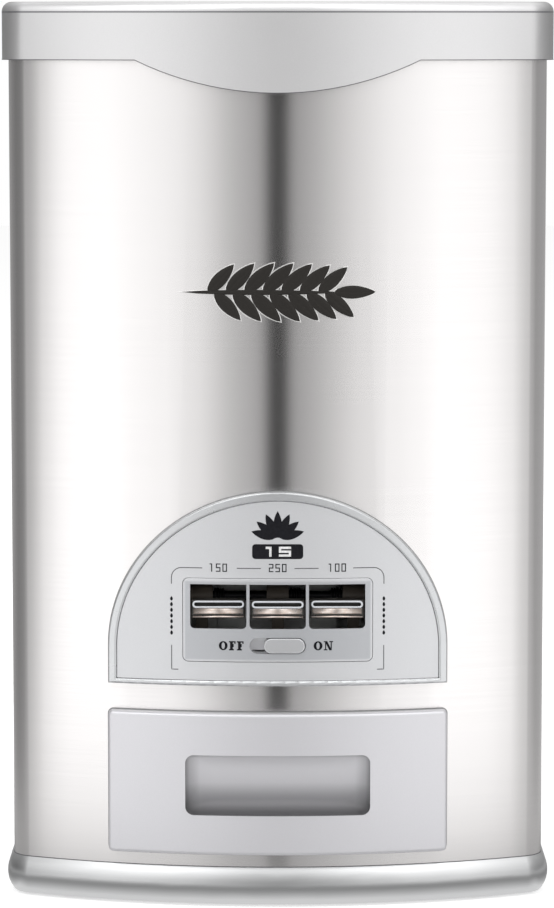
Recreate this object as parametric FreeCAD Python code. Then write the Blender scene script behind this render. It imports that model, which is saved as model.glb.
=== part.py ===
"""Rice dispenser with drawer: a free-standing cabinet that meters out portions of rice.

Millimetres. X runs to the right, Y to the back and Z up. The origin is on the floor, at the
middle of the overall box. Every sub-part is written to its own STEP file in parts/.
"""
import FreeCAD, Part
import math
import os

V = FreeCAD.Vector

# ---------------------------------------------------------------- cabinet
body_width = 268.0
body_depth = 360.0
bow_radius = 325.0            # curvature of the bowed front
corner_radius = 14.0
rear_corner_radius = 14.0
least_radius = 0.5            # of a corner that an inset leaves sharp
cut_over = 1.0                # how far a cut runs past the face that it opens
touch = 0.01                  # two edges this near lie in one plane
sheet = 0.8
total_height = 450.0
wrap_drop = 26.0              # from the top of the lid to the edge of the steel
rear_flange = 22.0            # width of the folded edge behind each rear corner
back_screw_pitch = 96.0
back_screw_drop = 24.0
back_screw_length = 4.0
front_reach = 65.0            # depth of a cut or an outline that is carried through the front

# ---------------------------------------------------------------- base
base_outset = 3.4
base_bottom = 1.5
base_top = 20.5
base_wall = 4.0
base_floor_bottom = 4.0
base_floor = 2.5
foot_radius = 9.0
foot_taper = 0.9
foot_inset = 34.0             # from the front and the back

# ---------------------------------------------------------------- lid and hinge
lid_outset = 3.2
lid_height = 28.5
lid_wall = 2.2
lid_edge_radius = 5.0
apron_half_width = 70.0
apron_drop = 16.0
lid_back_setback = 49.0       # from the overall back to the rear edge of the lid
lid_joint_gap = 0.8
hinge_setback = 12.0          # from the rear edge of the lid to the hinge axis
hinge_drop = 10.0             # from the top to the hinge axis
hinge_spacing = 152.0
arm_width = 14.0
barrel_radius = 4.5
hinge_pin_radius = 2.0
pocket_gap = 0.8
gasket_gap = 0.4
liner_height = 3.6
liner_overlap = 1.5           # past the mouth rim
gasket_overlap = 1.0
arm_screw_places = (6.0, 15.6)        # ahead of the rear wall of the lid

# ---------------------------------------------------------------- collar and hopper
collar_height = 6.0
collar_lip = 2.0
collar_lip_outset = 0.5
mouth_inset = 11.0
mouth_back_gap = 26.0         # between the mouth rim and the rear edge of the lid
rim_wall = 2.4
rim_height = 14.0
hopper_inset = 5.0
hopper_wall = 2.0
funnel_top = 244.0
hopper_flange = 3.0
throat_radius = 4.0

# ---------------------------------------------------------------- metering block
portions = (150.0, 250.0, 100.0)      # grams, left to right
grain_density = 0.00085               # grams in a cubic millimetre
chamber_depth = 62.0
chamber_height = 65.0
chamber_wall = 2.4
chamber_drop = 30.6           # from the pivots to the bottom of the chambers
gate_gap = 2.6                # slot that a gate plate slides in
gate_clearance = 0.3
gate_side_gap = 0.6
roof_plate = 3.0
base_plate = 2.7
gate_opening = 10.0
gate_side_margin = 4.0
post_size = 8.0
bolt_radius = 1.5

# ---------------------------------------------------------------- levers and lock
pivot_drop = 1.7              # from the top of a button to its pivot
pivot_setback = 28.0          # behind the face of the control panel
lever_travel = 18.0           # degrees
crank_length = 38.0
shaft_radius = 2.5
shaft_clearance = 0.06
hub_radius = 5.5
hub_length = 11.0
crank_thick = 5.0
crank_width = 6.0
crank_offset = 8.6            # from the middle of an outer button to its crank
drive_pin_radius = 1.5
fork_gap = 0.35
web_thick = 2.0
web_gap = 1.0                 # between the lever housing and the gate webs
window_width = 27.9
window_pitch = 29.4
window_height = 22.2
window_rise = 8.4             # from the middle of the lock slot to the windows
cap_width = 26.5
cap_height = 9.2
cap_rise = 5.1                # from the lower edge of its window to a button
cap_depth = 7.0
cap_edge = 1.2
cap_rim = 0.7
lip_height = 3.7
cap_recess = 1.6              # behind the face of the control panel
spring_wire = 1.0
spring_turns = 3.5
spring_pitch = 1.3
coil_steps = 4                # arcs in one turn of a spring
spring_fit = 0.5
lock_travel = 6.7
lock_slot_height = 8.0
lock_slot_width = 27.8
lock_knob_width = 20.3
lock_knob_height = 7.4
lock_rise = 8.1               # from the lower edge of the surround to the lock slot
lock_bar_height = 6.0
lock_bar_thick = 1.6
lock_bar_length = 78.0
lock_knob_proud = 1.0
lock_knob_round = 0.6
lock_bar_clear = 1.0          # between the bar and the surround
detent_thick = 0.4
detent_height = 4.0
stadium_flat = 0.04           # left straight at each end of a stadium

# ---------------------------------------------------------------- control panel
panel_half_width = 84.4
panel_rise = 78.6             # height of the half-ellipse
panel_band = 18.3             # straight band under the half-ellipse
panel_bottom = 112.7
panel_rim_width = 4.3
panel_sill_width = 2.6
panel_proud = 5.0
face_sink = 1.0
face_plate = 2.6
ledge_width = 7.0
sill_ledge_width = 3.0
panel_screw_angle = 48.0      # of the upper screws, from the level of the shoulder
surround_half_width = 47.0
surround_rise = 12.2          # from the lower edge of the panel
surround_margin = 2.9         # above the windows
surround_radius = 2.8
window_radius = 2.2
surround_relief = 3.3         # below each window, behind a thin skin, for the pressed button
surround_skin = 0.9
housing_wall = 2.0
divider = 1.4
part_gap = 0.2

# ---------------------------------------------------------------- drawer
drawer_half_width = 84.5
drawer_bottom = 27.5
drawer_top = 99.0
drawer_proud = 6.0
drawer_gap = 0.4
drawer_corner = 2.4
drawer_edge = 1.8
drawer_screw_length = 10.0
grip_half_width = 46.0
grip_bottom = 47.6
grip_top = 78.0
grip_radius = 4.2
grip_depth_top = 9.0
grip_depth_bottom = 18.0
grip_shoulder = 4.5           # how much deeper the pocket is at half its height
grip_block_wall = 12.0
grip_back_wall = 3.0
tray_half_width = 72.0
tray_length = 240.0
tray_bottom = 31.0
tray_top = 89.5
tray_wall = 2.2
tray_corner = 4.4
tray_inner_radius = 3.3
runner_width = 5.0
runner_thick = 3.0
runner_bottom = 62.0
runner_gap = 0.4
runner_start = 6.6            # behind the front of the tray
rail_thick = 2.0
rail_foot = 12.0
drawer_travel = 180.0
stop_lug = 2.4
stop_lug_length = 5.0
stop_lug_rise = 1.6           # into the slot of the rail
drawer_opening_gap = 1.0

# ---------------------------------------------------------------- frame and fasteners
frame_sheet = 1.6
frame_gap = 2.0
frame_foot = 12.0
frame_window_margin = 12.0
frame_window_rise = 24.0
screw_radius = 1.5
head_radius = 3.0
head_height = 1.8
head_round = 0.8
drive_radius = 1.05
drive_depth = 0.9
chute_wall = 1.8
chute_radius = 3.6
chute_half_width = 66.0
chute_bottom = 92.5
emblem_length = 98.0
emblem_drop = 116.0           # from the edge of the steel
emblem_proud = 0.9
stalk_length = 80.0
stalk_width = 2.4
grain_rows = 6
grain_length = 18.5
grain_width = 6.1
grain_turn = 48.0
grain_start = 15.7            # from the end of the stalk to the first pair
grain_pitch = 9.8
tip_start = 70.5

# ---------------------------------------------------------------- worked out
overall_depth = drawer_proud + body_depth + base_outset
front = -overall_depth / 2 + drawer_proud
back = front + body_depth
bow_centre = front + bow_radius
half_width = body_width / 2
lid_back = back + base_outset - lid_back_setback
hinge_y = lid_back + hinge_setback
hinge_z = total_height - hinge_drop
floor_top = base_floor_bottom + base_floor
face_y = front - panel_proud
panel_shoulder = panel_bottom + panel_band
surround_bottom = panel_bottom + surround_rise
lock_height = surround_bottom + lock_rise
window_bottom = lock_height + window_rise
window_top = window_bottom + window_height
surround_top = window_top + surround_margin
cap_bottom = window_bottom + cap_rise
cap_top = cap_bottom + cap_height
pivot_height = cap_top - pivot_drop
chamber_bottom = pivot_height - chamber_drop
pivot_y = face_y + pivot_setback
crank_swing = crank_length * math.sin(math.radians(lever_travel))
chamber_top = chamber_bottom + chamber_height
roof_bottom = chamber_top + gate_gap
roof_top = roof_bottom + roof_plate
plate_top = chamber_bottom - gate_gap
plate_bottom = plate_top - base_plate
deck_top = roof_top + frame_sheet
web_y = pivot_y + hub_radius + housing_wall + web_gap
block_front = web_y + web_thick + crank_swing + 2 * gate_clearance
block_back = block_front + chamber_depth + 2 * chamber_wall
chamber_front = block_front + chamber_wall
inlet_front = chamber_front + (chamber_depth - gate_opening) / 2
wrap_top = total_height - wrap_drop
lid_bottom = total_height - lid_height
collar_bottom = wrap_top + collar_lip - collar_height
collar_top = wrap_top + collar_lip
mouth_back = lid_back - lid_wall - mouth_back_gap
hopper_top = collar_bottom
rail_x = tray_half_width + runner_width + runner_gap
window_middles = (-window_pitch, 0.0, window_pitch)
crank_middles = (-window_pitch - crank_offset, 0.0, window_pitch + crank_offset)
emblem_middle = wrap_top - emblem_drop
side_names = ("left", "centre", "right")


# ---------------------------------------------------------------- helpers
def box(x0, x1, y0, y1, z0, z1):
    return Part.makeBox(x1 - x0, y1 - y0, z1 - z0, V(x0, y0, z0))


def rod(radius, start, end):
    run = end - start
    return Part.makeCylinder(radius, run.Length, start, run)


def line(start, end):
    return Part.LineSegment(start, end).toShape()


def arc(start, middle, end):
    return Part.Arc(start, middle, end).toShape()


def polygon(points):
    return Part.makePolygon(points + points[:1])


def plan_wire(grow, z, rear=None):
    """Outline of the cabinet from above, grown outwards by `grow`."""
    bow = bow_radius + grow
    side = half_width + grow
    corner = max(corner_radius + grow, least_radius)
    rear_corner = max(rear_corner_radius + grow, least_radius)
    rear_y = (back if rear is None else rear) + grow
    corner_x = side - corner
    corner_y = bow_centre - math.sqrt((bow - corner) ** 2 - corner_x ** 2)
    spread = math.atan2(corner_x, bow_centre - corner_y)
    half_turn = spread + (math.pi / 2 - spread) / 2

    def on_bow(sign):
        return V(sign * bow * math.sin(spread), bow_centre - bow * math.cos(spread), z)

    def on_corner(sign):
        return V(sign * (corner_x + corner * math.sin(half_turn)),
                 corner_y - corner * math.cos(half_turn), z)

    def on_rear(sign):
        offset = rear_corner * math.sqrt(0.5)
        return V(sign * (side - rear_corner + offset), rear_y - rear_corner + offset, z)

    edges = [arc(on_bow(-1), V(0, bow_centre - bow, z), on_bow(1)),
             arc(on_bow(1), on_corner(1), V(side, corner_y, z)),
             line(V(side, corner_y, z), V(side, rear_y - rear_corner, z)),
             arc(V(side, rear_y - rear_corner, z), on_rear(1), V(side - rear_corner, rear_y, z)),
             line(V(side - rear_corner, rear_y, z), V(rear_corner - side, rear_y, z)),
             arc(V(rear_corner - side, rear_y, z), on_rear(-1), V(-side, rear_y - rear_corner, z)),
             line(V(-side, rear_y - rear_corner, z), V(-side, corner_y, z)),
             arc(V(-side, corner_y, z), on_corner(-1), on_bow(-1))]
    return Part.Wire(edges)


def plan_solid(grow, z0, z1, rear=None):
    return Part.Face(plan_wire(grow, z0, rear)).extrude(V(0, 0, z1 - z0))


def window_wire(x0, x1, y0, y1, z, radius):
    """Rounded rectangle from above, with the same run of edges as the cabinet outline."""
    offset = radius * (1 - math.sqrt(0.5))
    return Part.Wire([
        line(V(x0 + radius, y0, z), V(x1 - radius, y0, z)),
        arc(V(x1 - radius, y0, z), V(x1 - offset, y0 + offset, z), V(x1, y0 + radius, z)),
        line(V(x1, y0 + radius, z), V(x1, y1 - radius, z)),
        arc(V(x1, y1 - radius, z), V(x1 - offset, y1 - offset, z), V(x1 - radius, y1, z)),
        line(V(x1 - radius, y1, z), V(x0 + radius, y1, z)),
        arc(V(x0 + radius, y1, z), V(x0 + offset, y1 - offset, z), V(x0, y1 - radius, z)),
        line(V(x0, y1 - radius, z), V(x0, y0 + radius, z)),
        arc(V(x0, y0 + radius, z), V(x0 + offset, y0 + offset, z), V(x0 + radius, y0, z))])


def front_wire(x0, x1, z0, z1, radius):
    """Rounded rectangle seen from the front."""
    flat = window_wire(x0, x1, z0, z1, 0, radius)
    flat.rotate(V(0, 0, 0), V(1, 0, 0), 90)
    return flat


def stadium_wire(x0, x1, z0, z1):
    return front_wire(x0, x1, z0, z1, (z1 - z0) / 2 - stadium_flat)


def from_front(wire):
    """A prism through the front of the cabinet, with the wire as its section."""
    prism = Part.Face(wire).extrude(V(0, 2 * front_reach, 0))
    prism.translate(V(0, front - front_reach, 0))
    return prism


def bow_slab(inner, outer, z0, z1):
    """A stretch of the bowed front between two distances out from the steel."""
    solid = Part.makeCylinder(bow_radius + outer, z1 - z0, V(0, bow_centre, z0))
    solid = solid.cut(Part.makeCylinder(bow_radius + inner, z1 - z0, V(0, bow_centre, z0)))
    return solid.common(box(-half_width, half_width, front - front_reach, front + front_reach, z0, z1))


def bow_point(x, grow, z):
    bow = bow_radius + grow
    return V(x, bow_centre - math.sqrt(bow ** 2 - x ** 2), z)


def bow_normal(x):
    run = V(x, -math.sqrt(bow_radius ** 2 - x ** 2), 0)
    return run.normalize()


def half_ellipse(wide, rise, base):
    ellipse = Part.Ellipse(V(0, 0, base), max(wide, rise), min(wide, rise))
    ellipse.Axis = V(0, -1, 0)
    ellipse.XAxis = V(1, 0, 0) if wide >= rise else V(0, 0, 1)
    start = 0 if wide >= rise else -math.pi / 2
    return Part.ArcOfEllipse(ellipse, start, start + math.pi).toShape()


def half_round(inset, bottom_inset):
    """Outline of the control panel from the front: a half-ellipse on a straight band."""
    wide = panel_half_width - inset
    low = panel_bottom + bottom_inset
    return Part.Wire([
        half_ellipse(wide, panel_rise - inset, panel_shoulder),
        line(V(-wide, 0, panel_shoulder), V(-wide, 0, low)),
        line(V(-wide, 0, low), V(wide, 0, low)),
        line(V(wide, 0, low), V(wide, 0, panel_shoulder))])


def screw(point, direction, length):
    """Pan-head screw: `point` is under the head, and the shank runs along `direction`."""
    run = V(direction).normalize()
    head = Part.makeCylinder(head_radius, head_height, point - run * head_height, run)
    rim = [edge for edge in head.Edges if edge.Curve.TypeId == "Part::GeomCircle"
           and (edge.CenterOfMass - point).dot(run) < -head_height / 2]
    head = head.makeFillet(head_round, rim)
    slot = Part.makeCylinder(drive_radius, drive_depth, point - run * head_height, run)
    return head.cut(slot).fuse(rod(screw_radius, point, point + run * length))


def screw_hole(point, direction, length):
    run = V(direction).normalize()
    return rod(screw_radius, point - run * head_height, point + run * length)


def mirrored(shape):
    return shape.mirror(V(0, 0, 0), V(1, 0, 0))


parts = {}


def keep(name, shapes):
    solids = shapes if isinstance(shapes, list) else [shapes]
    clean = []
    for shape in solids:
        clean += shape.removeSplitter().Solids
    parts[name] = clean[0] if len(clean) == 1 else Part.Compound(clean)


# ---------------------------------------------------------------- cabinet
def back_screw_points():
    x = half_width - rear_corner_radius - rear_flange / 2
    top = collar_bottom - back_screw_drop
    rows = int((top - base_top) // back_screw_pitch) + 1
    return [V(side * x, back, top - row * back_screw_pitch)
            for side in (-1, 1) for row in range(rows)]


def panel_screw_points():
    x = panel_half_width - panel_rim_width - ledge_width / 2
    rise = panel_rise - panel_rim_width - ledge_width / 2
    angles = [math.radians(angle) for angle in (0.0, panel_screw_angle)]
    return [(side * x * math.cos(angle), panel_shoulder + rise * math.sin(angle))
            for side in (-1, 1) for angle in angles]


def panel_screw(x, height, maker):
    seat = head_radius ** 2 / bow_radius
    start = bow_point(x, -sheet - seat, height)
    return maker(start, bow_normal(x), sheet + panel_proud - face_sink - part_gap)


def body_wrap():
    shell = plan_solid(0, base_top, wrap_top).cut(plan_solid(-sheet, base_top, wrap_top))
    open_x = half_width - rear_corner_radius - rear_flange
    cuts = [box(-open_x, open_x, back - 2 * sheet, back + sheet, base_top, wrap_top)]
    opening_x = surround_half_width + housing_wall + part_gap
    cuts.append(from_front(front_wire(-opening_x, opening_x, surround_bottom - housing_wall,
                                      surround_top + housing_wall, part_gap)))
    drawer_x = tray_half_width + runner_width + drawer_opening_gap
    cuts.append(from_front(front_wire(-drawer_x, drawer_x, tray_bottom - drawer_opening_gap,
                                      tray_top + drawer_opening_gap, drawer_corner)))
    cuts += [screw_hole(point, V(0, -1, 0), back_screw_length) for point in back_screw_points()]
    cuts += [panel_screw(x, height, screw_hole) for x, height in panel_screw_points()]
    keep("body_wrap", shell.cut(cuts))


def back_panel():
    reach = half_width - rear_corner_radius
    panel = box(-reach, reach, back - 2 * sheet, back - sheet, base_top, collar_bottom)
    panel = panel.cut([screw_hole(point, V(0, -1, 0), back_screw_length) for point in back_screw_points()])
    keep("back_panel", panel)
    keep("back_panel_screws", [screw(point, V(0, -1, 0), back_screw_length) for point in back_screw_points()])


def foot_points():
    x = frame_x() + frame_sheet + frame_foot - foot_radius
    return [V(side * x, y, 0) for side in (-1, 1) for y in (front + foot_inset, back - foot_inset)]


def frame_foot_points():
    inner = rail_x + rail_thick + rail_foot / 2
    outer = frame_x() + frame_sheet + frame_foot / 2
    near, far = frame_span()
    rails = [V(side * inner, y, floor_top + rail_thick) for side in (-1, 1)
             for y in (rail_span()[0] + rail_foot, rail_span()[1] - rail_foot)]
    frames = [V(side * outer, y, floor_top + frame_sheet) for side in (-1, 1)
              for y in (near + frame_foot, far - frame_foot)]
    return rails + frames


def base_tray():
    height = base_top - base_bottom
    path = plan_wire(0, base_bottom)
    side = half_width
    start = path.Edges[2].Vertexes[0].Point
    mid = V(side + base_outset, start.y, base_bottom + height / 2)
    profile = Part.Wire([
        arc(V(side, start.y, base_bottom), mid, V(side, start.y, base_top)),
        line(V(side, start.y, base_top), V(side - base_wall, start.y, base_top)),
        line(V(side - base_wall, start.y, base_top), V(side - base_wall, start.y, base_bottom)),
        line(V(side - base_wall, start.y, base_bottom), V(side, start.y, base_bottom))])
    spine = Part.Wire(path.Edges[2:] + path.Edges[:2])
    ring = spine.makePipeShell([profile], True, False)
    tray = ring.fuse(plan_solid(-base_wall / 2, base_floor_bottom, floor_top))
    holes = [rod(screw_radius, V(p.x, p.y, base_floor_bottom), p) for p in frame_foot_points()]
    keep("base_tray", tray.cut(holes))
    feet = []
    for point in foot_points():
        foot = Part.makeCone(foot_radius - foot_taper, foot_radius, base_floor_bottom, point)
        feet.append(foot)
    keep("rubber_feet", feet)


# ---------------------------------------------------------------- frame that carries the works
def frame_x():
    return rail_x + rail_thick + rail_foot + frame_gap


def frame_span():
    return block_front - post_size, block_back + post_size


def inner_frame():
    x = frame_x()
    near, far = frame_span()
    outer = box(-x - frame_sheet, x + frame_sheet, near, far, floor_top, deck_top)
    inner = box(-x, x, near, far, floor_top, deck_top - frame_sheet)
    shape = outer.cut(inner)
    foot = box(x + frame_sheet, x + frame_sheet + frame_foot, near, far, floor_top, floor_top + frame_sheet)
    shape = shape.fuse([foot, mirrored(foot)])
    inside = half_throat()
    shape = shape.cut([box(-inside, inside, chamber_front, chamber_front + chamber_depth,
                           roof_top, deck_top)])
    window = box(-x - frame_sheet, x + frame_sheet, near + frame_window_margin,
                 far - frame_window_margin, floor_top + frame_window_rise, plate_bottom - frame_window_margin)
    shape = shape.cut([window])
    shape = shape.cut(bolt_holes() + hopper_screw_shapes(screw_hole))
    shape = shape.cut([screw_hole(p, V(0, 0, -1), base_floor + 2 * rail_thick)
                       for p in frame_foot_points()])
    keep("inner_frame", shape)
    keep("frame_screws", [screw(p, V(0, 0, -1), base_floor + frame_sheet) for p in frame_foot_points()])


def rail_span():
    tray_front = tray_y()[0]
    return tray_front + rail_thick, tray_front + tray_length + rail_foot


def drawer_rails():
    near, far = rail_span()
    web_in = rail_x
    web_out = rail_x + rail_thick
    lip_in = tray_half_width + runner_gap
    low = runner_bottom - runner_gap
    high = runner_bottom + runner_thick + runner_gap
    rail = box(web_in, web_out, near, far, floor_top, high + rail_thick)
    rail = rail.fuse([box(lip_in, web_in, near, far, low - rail_thick, low),
                      box(lip_in, web_in, near, far, high, high + rail_thick),
                      box(web_out, web_out + rail_foot, near, far, floor_top, floor_top + rail_thick)])
    lug_x, lug_near, lug_far = stop_lug_box()
    slot = box(lug_x - stop_lug / 2 - runner_gap, lug_x + stop_lug / 2 + runner_gap,
               lug_near - drawer_travel - runner_gap, lug_far + runner_gap, high, high + rail_thick)
    rail = rail.cut([slot] + [screw_hole(p, V(0, 0, -1), base_floor + rail_thick)
                              for p in frame_foot_points()])
    keep("drawer_rail_right", rail)
    keep("drawer_rail_left", mirrored(rail))


# ---------------------------------------------------------------- drawer
def tray_y():
    start = front + grip_depth_bottom + grip_back_wall
    return start, start + tray_length


def stop_lug_box():
    far = tray_y()[1] - 2 * tray_wall
    return tray_half_width + runner_width / 2 + runner_gap, far - stop_lug_length, far


def drawer_screw_points():
    x = grip_half_width + grip_block_wall / 2
    return [V(side * x, tray_y()[0] + tray_wall, z) for side in (-1, 1)
            for z in (grip_bottom + screw_radius, grip_top - screw_radius)]


def grip_pocket():
    points = [V(0, front - drawer_proud - grip_radius, grip_top),
              V(0, front - drawer_proud + grip_depth_top, grip_top),
              V(0, front - drawer_proud + grip_depth_top + grip_shoulder, (grip_bottom + grip_top) / 2),
              V(0, front + grip_depth_bottom, grip_bottom + grip_radius),
              V(0, front + grip_depth_bottom, grip_bottom),
              V(0, front - drawer_proud - grip_radius, grip_bottom)]
    wedge = Part.Face(polygon(points)).extrude(V(2 * grip_half_width, 0, 0))
    wedge.translate(V(-grip_half_width, 0, 0))
    return wedge.common(from_front(front_wire(-grip_half_width, grip_half_width, grip_bottom,
                                              grip_top, grip_radius)))


def front_edges(solid, grow):
    """Edges of a bowed plate that lie on its outer face."""
    bow = bow_radius + grow
    found = []
    for edge in solid.Edges:
        points = [edge.valueAt(edge.FirstParameter + (edge.LastParameter - edge.FirstParameter) * share)
                  for share in (0.1, 0.5, 0.9)]
        if all(abs(math.hypot(p.x, p.y - bow_centre) - bow) < touch for p in points):
            found.append(edge)
    return found


def drawer_front():
    plate = bow_slab(drawer_gap, drawer_proud, drawer_bottom, drawer_top)
    plate = plate.common(from_front(front_wire(-drawer_half_width, drawer_half_width,
                                               drawer_bottom, drawer_top, drawer_corner)))
    plate = plate.makeFillet(drawer_edge, front_edges(plate, drawer_proud))
    block_x = grip_half_width + grip_block_wall
    block = box(-block_x, block_x, front - drawer_proud, tray_y()[0],
                grip_bottom - grip_back_wall, grip_top + grip_back_wall)
    middle = bow_radius + (drawer_gap + drawer_proud) / 2
    block = block.common(Part.makeCylinder(middle, total_height, V(0, bow_centre, 0)))
    solid = plate.fuse(block).removeSplitter()
    solid = solid.cut([grip_pocket()] + [screw_hole(p, V(0, -1, 0), drawer_screw_length)
                                         for p in drawer_screw_points()])
    keep("drawer_front", solid)
    keep("drawer_screws", [screw(p, V(0, -1, 0), drawer_screw_length) for p in drawer_screw_points()])


def drawer_tray():
    near, far = tray_y()
    tray = box(-tray_half_width, tray_half_width, near, far, tray_bottom, tray_top)
    upright = [edge for edge in tray.Edges if abs(edge.tangentAt(edge.FirstParameter).z) > 0.9]
    tray = tray.makeFillet(tray_corner, upright)
    hollow = box(-tray_half_width + tray_wall, tray_half_width - tray_wall, near + tray_wall,
                 far - tray_wall, tray_bottom + tray_wall, tray_top)
    lengthwise = [edge for edge in hollow.Edges if edge.BoundBox.ZMax < tray_top]
    tray = tray.cut(hollow.makeFillet(tray_inner_radius, lengthwise))
    runner = box(tray_half_width - tray_wall / 2, tray_half_width + runner_width,
                 near + runner_start, far - tray_wall, runner_bottom, runner_bottom + runner_thick)
    lug_x, lug_near, lug_far = stop_lug_box()
    lug = box(lug_x - stop_lug / 2, lug_x + stop_lug / 2, lug_near, lug_far,
              runner_bottom, runner_bottom + runner_thick + runner_gap + stop_lug_rise)
    runner = runner.fuse(lug)
    tray = tray.fuse([runner, mirrored(runner)])
    keep("drawer_tray", tray.cut([screw_hole(p, V(0, -1, 0), 2 * tray_wall)
                                  for p in drawer_screw_points()]))


# ---------------------------------------------------------------- hopper and collar
def half_throat():
    total = sum(chamber_widths()) + 2 * chamber_wall
    return total / 2


def hopper_screw_shapes(maker):
    x = half_throat() + 2 * chamber_wall + post_size
    ys = (chamber_front + post_size, chamber_front + chamber_depth - post_size)
    return [maker(V(side * x, y, deck_top + hopper_flange), V(0, 0, -1), hopper_flange + frame_sheet)
            for side in (-1, 1) for y in ys]


def hopper():
    inside = half_throat()
    near = chamber_front
    far = chamber_front + chamber_depth
    neck_top = deck_top + hopper_flange

    def solid(inset, spread):
        throat = window_wire(-inside - spread, inside + spread, near - spread, far + spread,
                             neck_top, throat_radius + spread)
        funnel = Part.makeLoft([throat, plan_wire(-hopper_inset - inset, funnel_top)], True, True)
        tub = plan_solid(-hopper_inset - inset, funnel_top, hopper_top)
        neck = Part.Face(window_wire(-inside - spread, inside + spread, near - spread, far + spread,
                                     deck_top, throat_radius + spread)).extrude(V(0, 0, hopper_flange))
        return tub.fuse([funnel, neck])

    flange_x = frame_x()
    flange = box(-flange_x, flange_x, near - hopper_wall, far + hopper_wall, deck_top, neck_top)
    shape = solid(0, hopper_wall).fuse(flange)
    shape = shape.cut(solid(hopper_wall, 0))
    shape = shape.cut(hopper_screw_shapes(screw_hole))
    keep("hopper", shape)
    keep("hopper_screws", hopper_screw_shapes(screw))


def top_collar():
    ring = plan_solid(-sheet, collar_bottom, wrap_top)
    ring = ring.fuse(plan_solid(collar_lip_outset, wrap_top, collar_top))
    rim = plan_solid(-mouth_inset + rim_wall, collar_top, collar_top + rim_height, mouth_back + mouth_inset)
    ring = ring.fuse(rim)
    mouth = plan_solid(-mouth_inset, collar_bottom, collar_top + rim_height, mouth_back + mouth_inset)
    keep("top_collar", ring.cut([mouth] + housing_screw_shapes(screw_hole)))


# ---------------------------------------------------------------- lid and hinge
def lid():
    plan = plan_solid(lid_outset, lid_bottom, total_height)
    ahead = box(-body_width, body_width, front - body_depth, lid_back, 0, 2 * total_height)
    outer = plan.common(ahead)
    top = [edge for edge in outer.Edges if edge.BoundBox.ZMin > total_height - touch
           and edge.BoundBox.YMin < lid_back - cut_over]
    outer = outer.makeFillet(lid_edge_radius, top)
    chord = apron_half_width
    low = lid_bottom - apron_drop
    apron_wire = Part.Wire([
        arc(V(-chord, 0, lid_bottom), V(0, 0, low), V(chord, 0, lid_bottom)),
        line(V(chord, 0, lid_bottom), V(chord, 0, lid_bottom + apron_drop)),
        line(V(chord, 0, lid_bottom + apron_drop), V(-chord, 0, lid_bottom + apron_drop)),
        line(V(-chord, 0, lid_bottom + apron_drop), V(-chord, 0, lid_bottom))])
    apron = bow_slab(lid_outset - lid_wall, lid_outset, low - apron_drop, lid_bottom + 2 * apron_drop)
    outer = outer.fuse(apron.common(from_front(apron_wire)))
    inner = plan_solid(lid_outset - lid_wall, lid_bottom, total_height - lid_wall)
    inner = inner.common(box(-body_width, body_width, front - body_depth, lid_back - lid_wall,
                             0, 2 * total_height))
    roof = [edge for edge in inner.Edges if edge.BoundBox.ZMin > total_height - lid_wall - touch
            and edge.BoundBox.YMin < lid_back - lid_wall - cut_over]
    inner = inner.makeFillet(lid_edge_radius - lid_wall, roof)
    below = plan_solid(lid_outset - lid_wall, lid_bottom, collar_top + part_gap + gasket_gap)
    shell = outer.cut([inner, below])
    notches = []
    for side in (-1, 1):
        x = side * hinge_spacing / 2
        notches.append(box(x - arm_width / 2 - part_gap, x + arm_width / 2 + part_gap,
                           lid_back - 2 * lid_wall, lid_back + cut_over, 0, total_height - lid_wall))
    shell = shell.cut(notches).cut([hole for hole in lid_screw_shapes(screw_hole)])
    keep("lid_shell", shell)


def lid_screw_points():
    return [V(side * hinge_spacing / 2, lid_back - lid_wall - place, arm_bottom())
            for side in (-1, 1) for place in arm_screw_places]


def lid_screw_shapes(maker):
    depth = total_height - lid_wall / 2 - arm_bottom()
    return [maker(p, V(0, 0, 1), depth) for p in lid_screw_points()]


def arm_bottom():
    return hinge_z - barrel_radius


def arm_reach():
    return mouth_back_gap - 2 * rim_wall - 2 * part_gap


def lid_inside():
    liner_bottom = total_height - lid_wall - liner_height
    inset = mouth_inset - rim_wall - liner_overlap
    liner = plan_solid(-inset, liner_bottom, liner_bottom + liner_height, mouth_back + inset + rim_wall)
    liner = liner.cut(plan_solid(-mouth_inset - rim_wall, liner_bottom + liner_height / 2,
                                 liner_bottom + liner_height, mouth_back + mouth_inset))
    keep("lid_liner", liner)
    low = collar_top + rim_height + gasket_gap
    wide = plan_solid(-mouth_inset + rim_wall + gasket_overlap, low, liner_bottom, mouth_back + mouth_inset)
    narrow = plan_solid(-mouth_inset - gasket_overlap, low, liner_bottom, mouth_back + mouth_inset)
    keep("lid_gasket", wide.cut(narrow))


def lid_arms():
    arms = []
    for side in (-1, 1):
        x = side * hinge_spacing / 2
        bar = box(x - arm_width / 2, x + arm_width / 2, lid_back - lid_wall - arm_reach(), hinge_y,
                  arm_bottom(), total_height - lid_wall)
        bar = bar.cut(box(x - arm_width, x + arm_width, lid_back, hinge_y + cut_over,
                          hinge_z + barrel_radius, total_height))
        barrel = rod(barrel_radius, V(x - arm_width / 2, hinge_y, hinge_z),
                     V(x + arm_width / 2, hinge_y, hinge_z))
        bore = rod(hinge_pin_radius + shaft_clearance, V(x - arm_width, hinge_y, hinge_z),
                   V(x + arm_width, hinge_y, hinge_z))
        arms.append(bar.fuse(barrel).cut([bore] + lid_screw_shapes(screw_hole)))
    keep("lid_hinge_arms", arms)
    keep("lid_screws", lid_screw_shapes(screw))


def housing_screw_shapes(maker):
    start = collar_bottom
    return [maker(V(x, hinge_y, start), V(0, 0, 1), collar_height + lid_wall)
            for x in (-hinge_spacing / 4, hinge_spacing / 4)]


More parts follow.
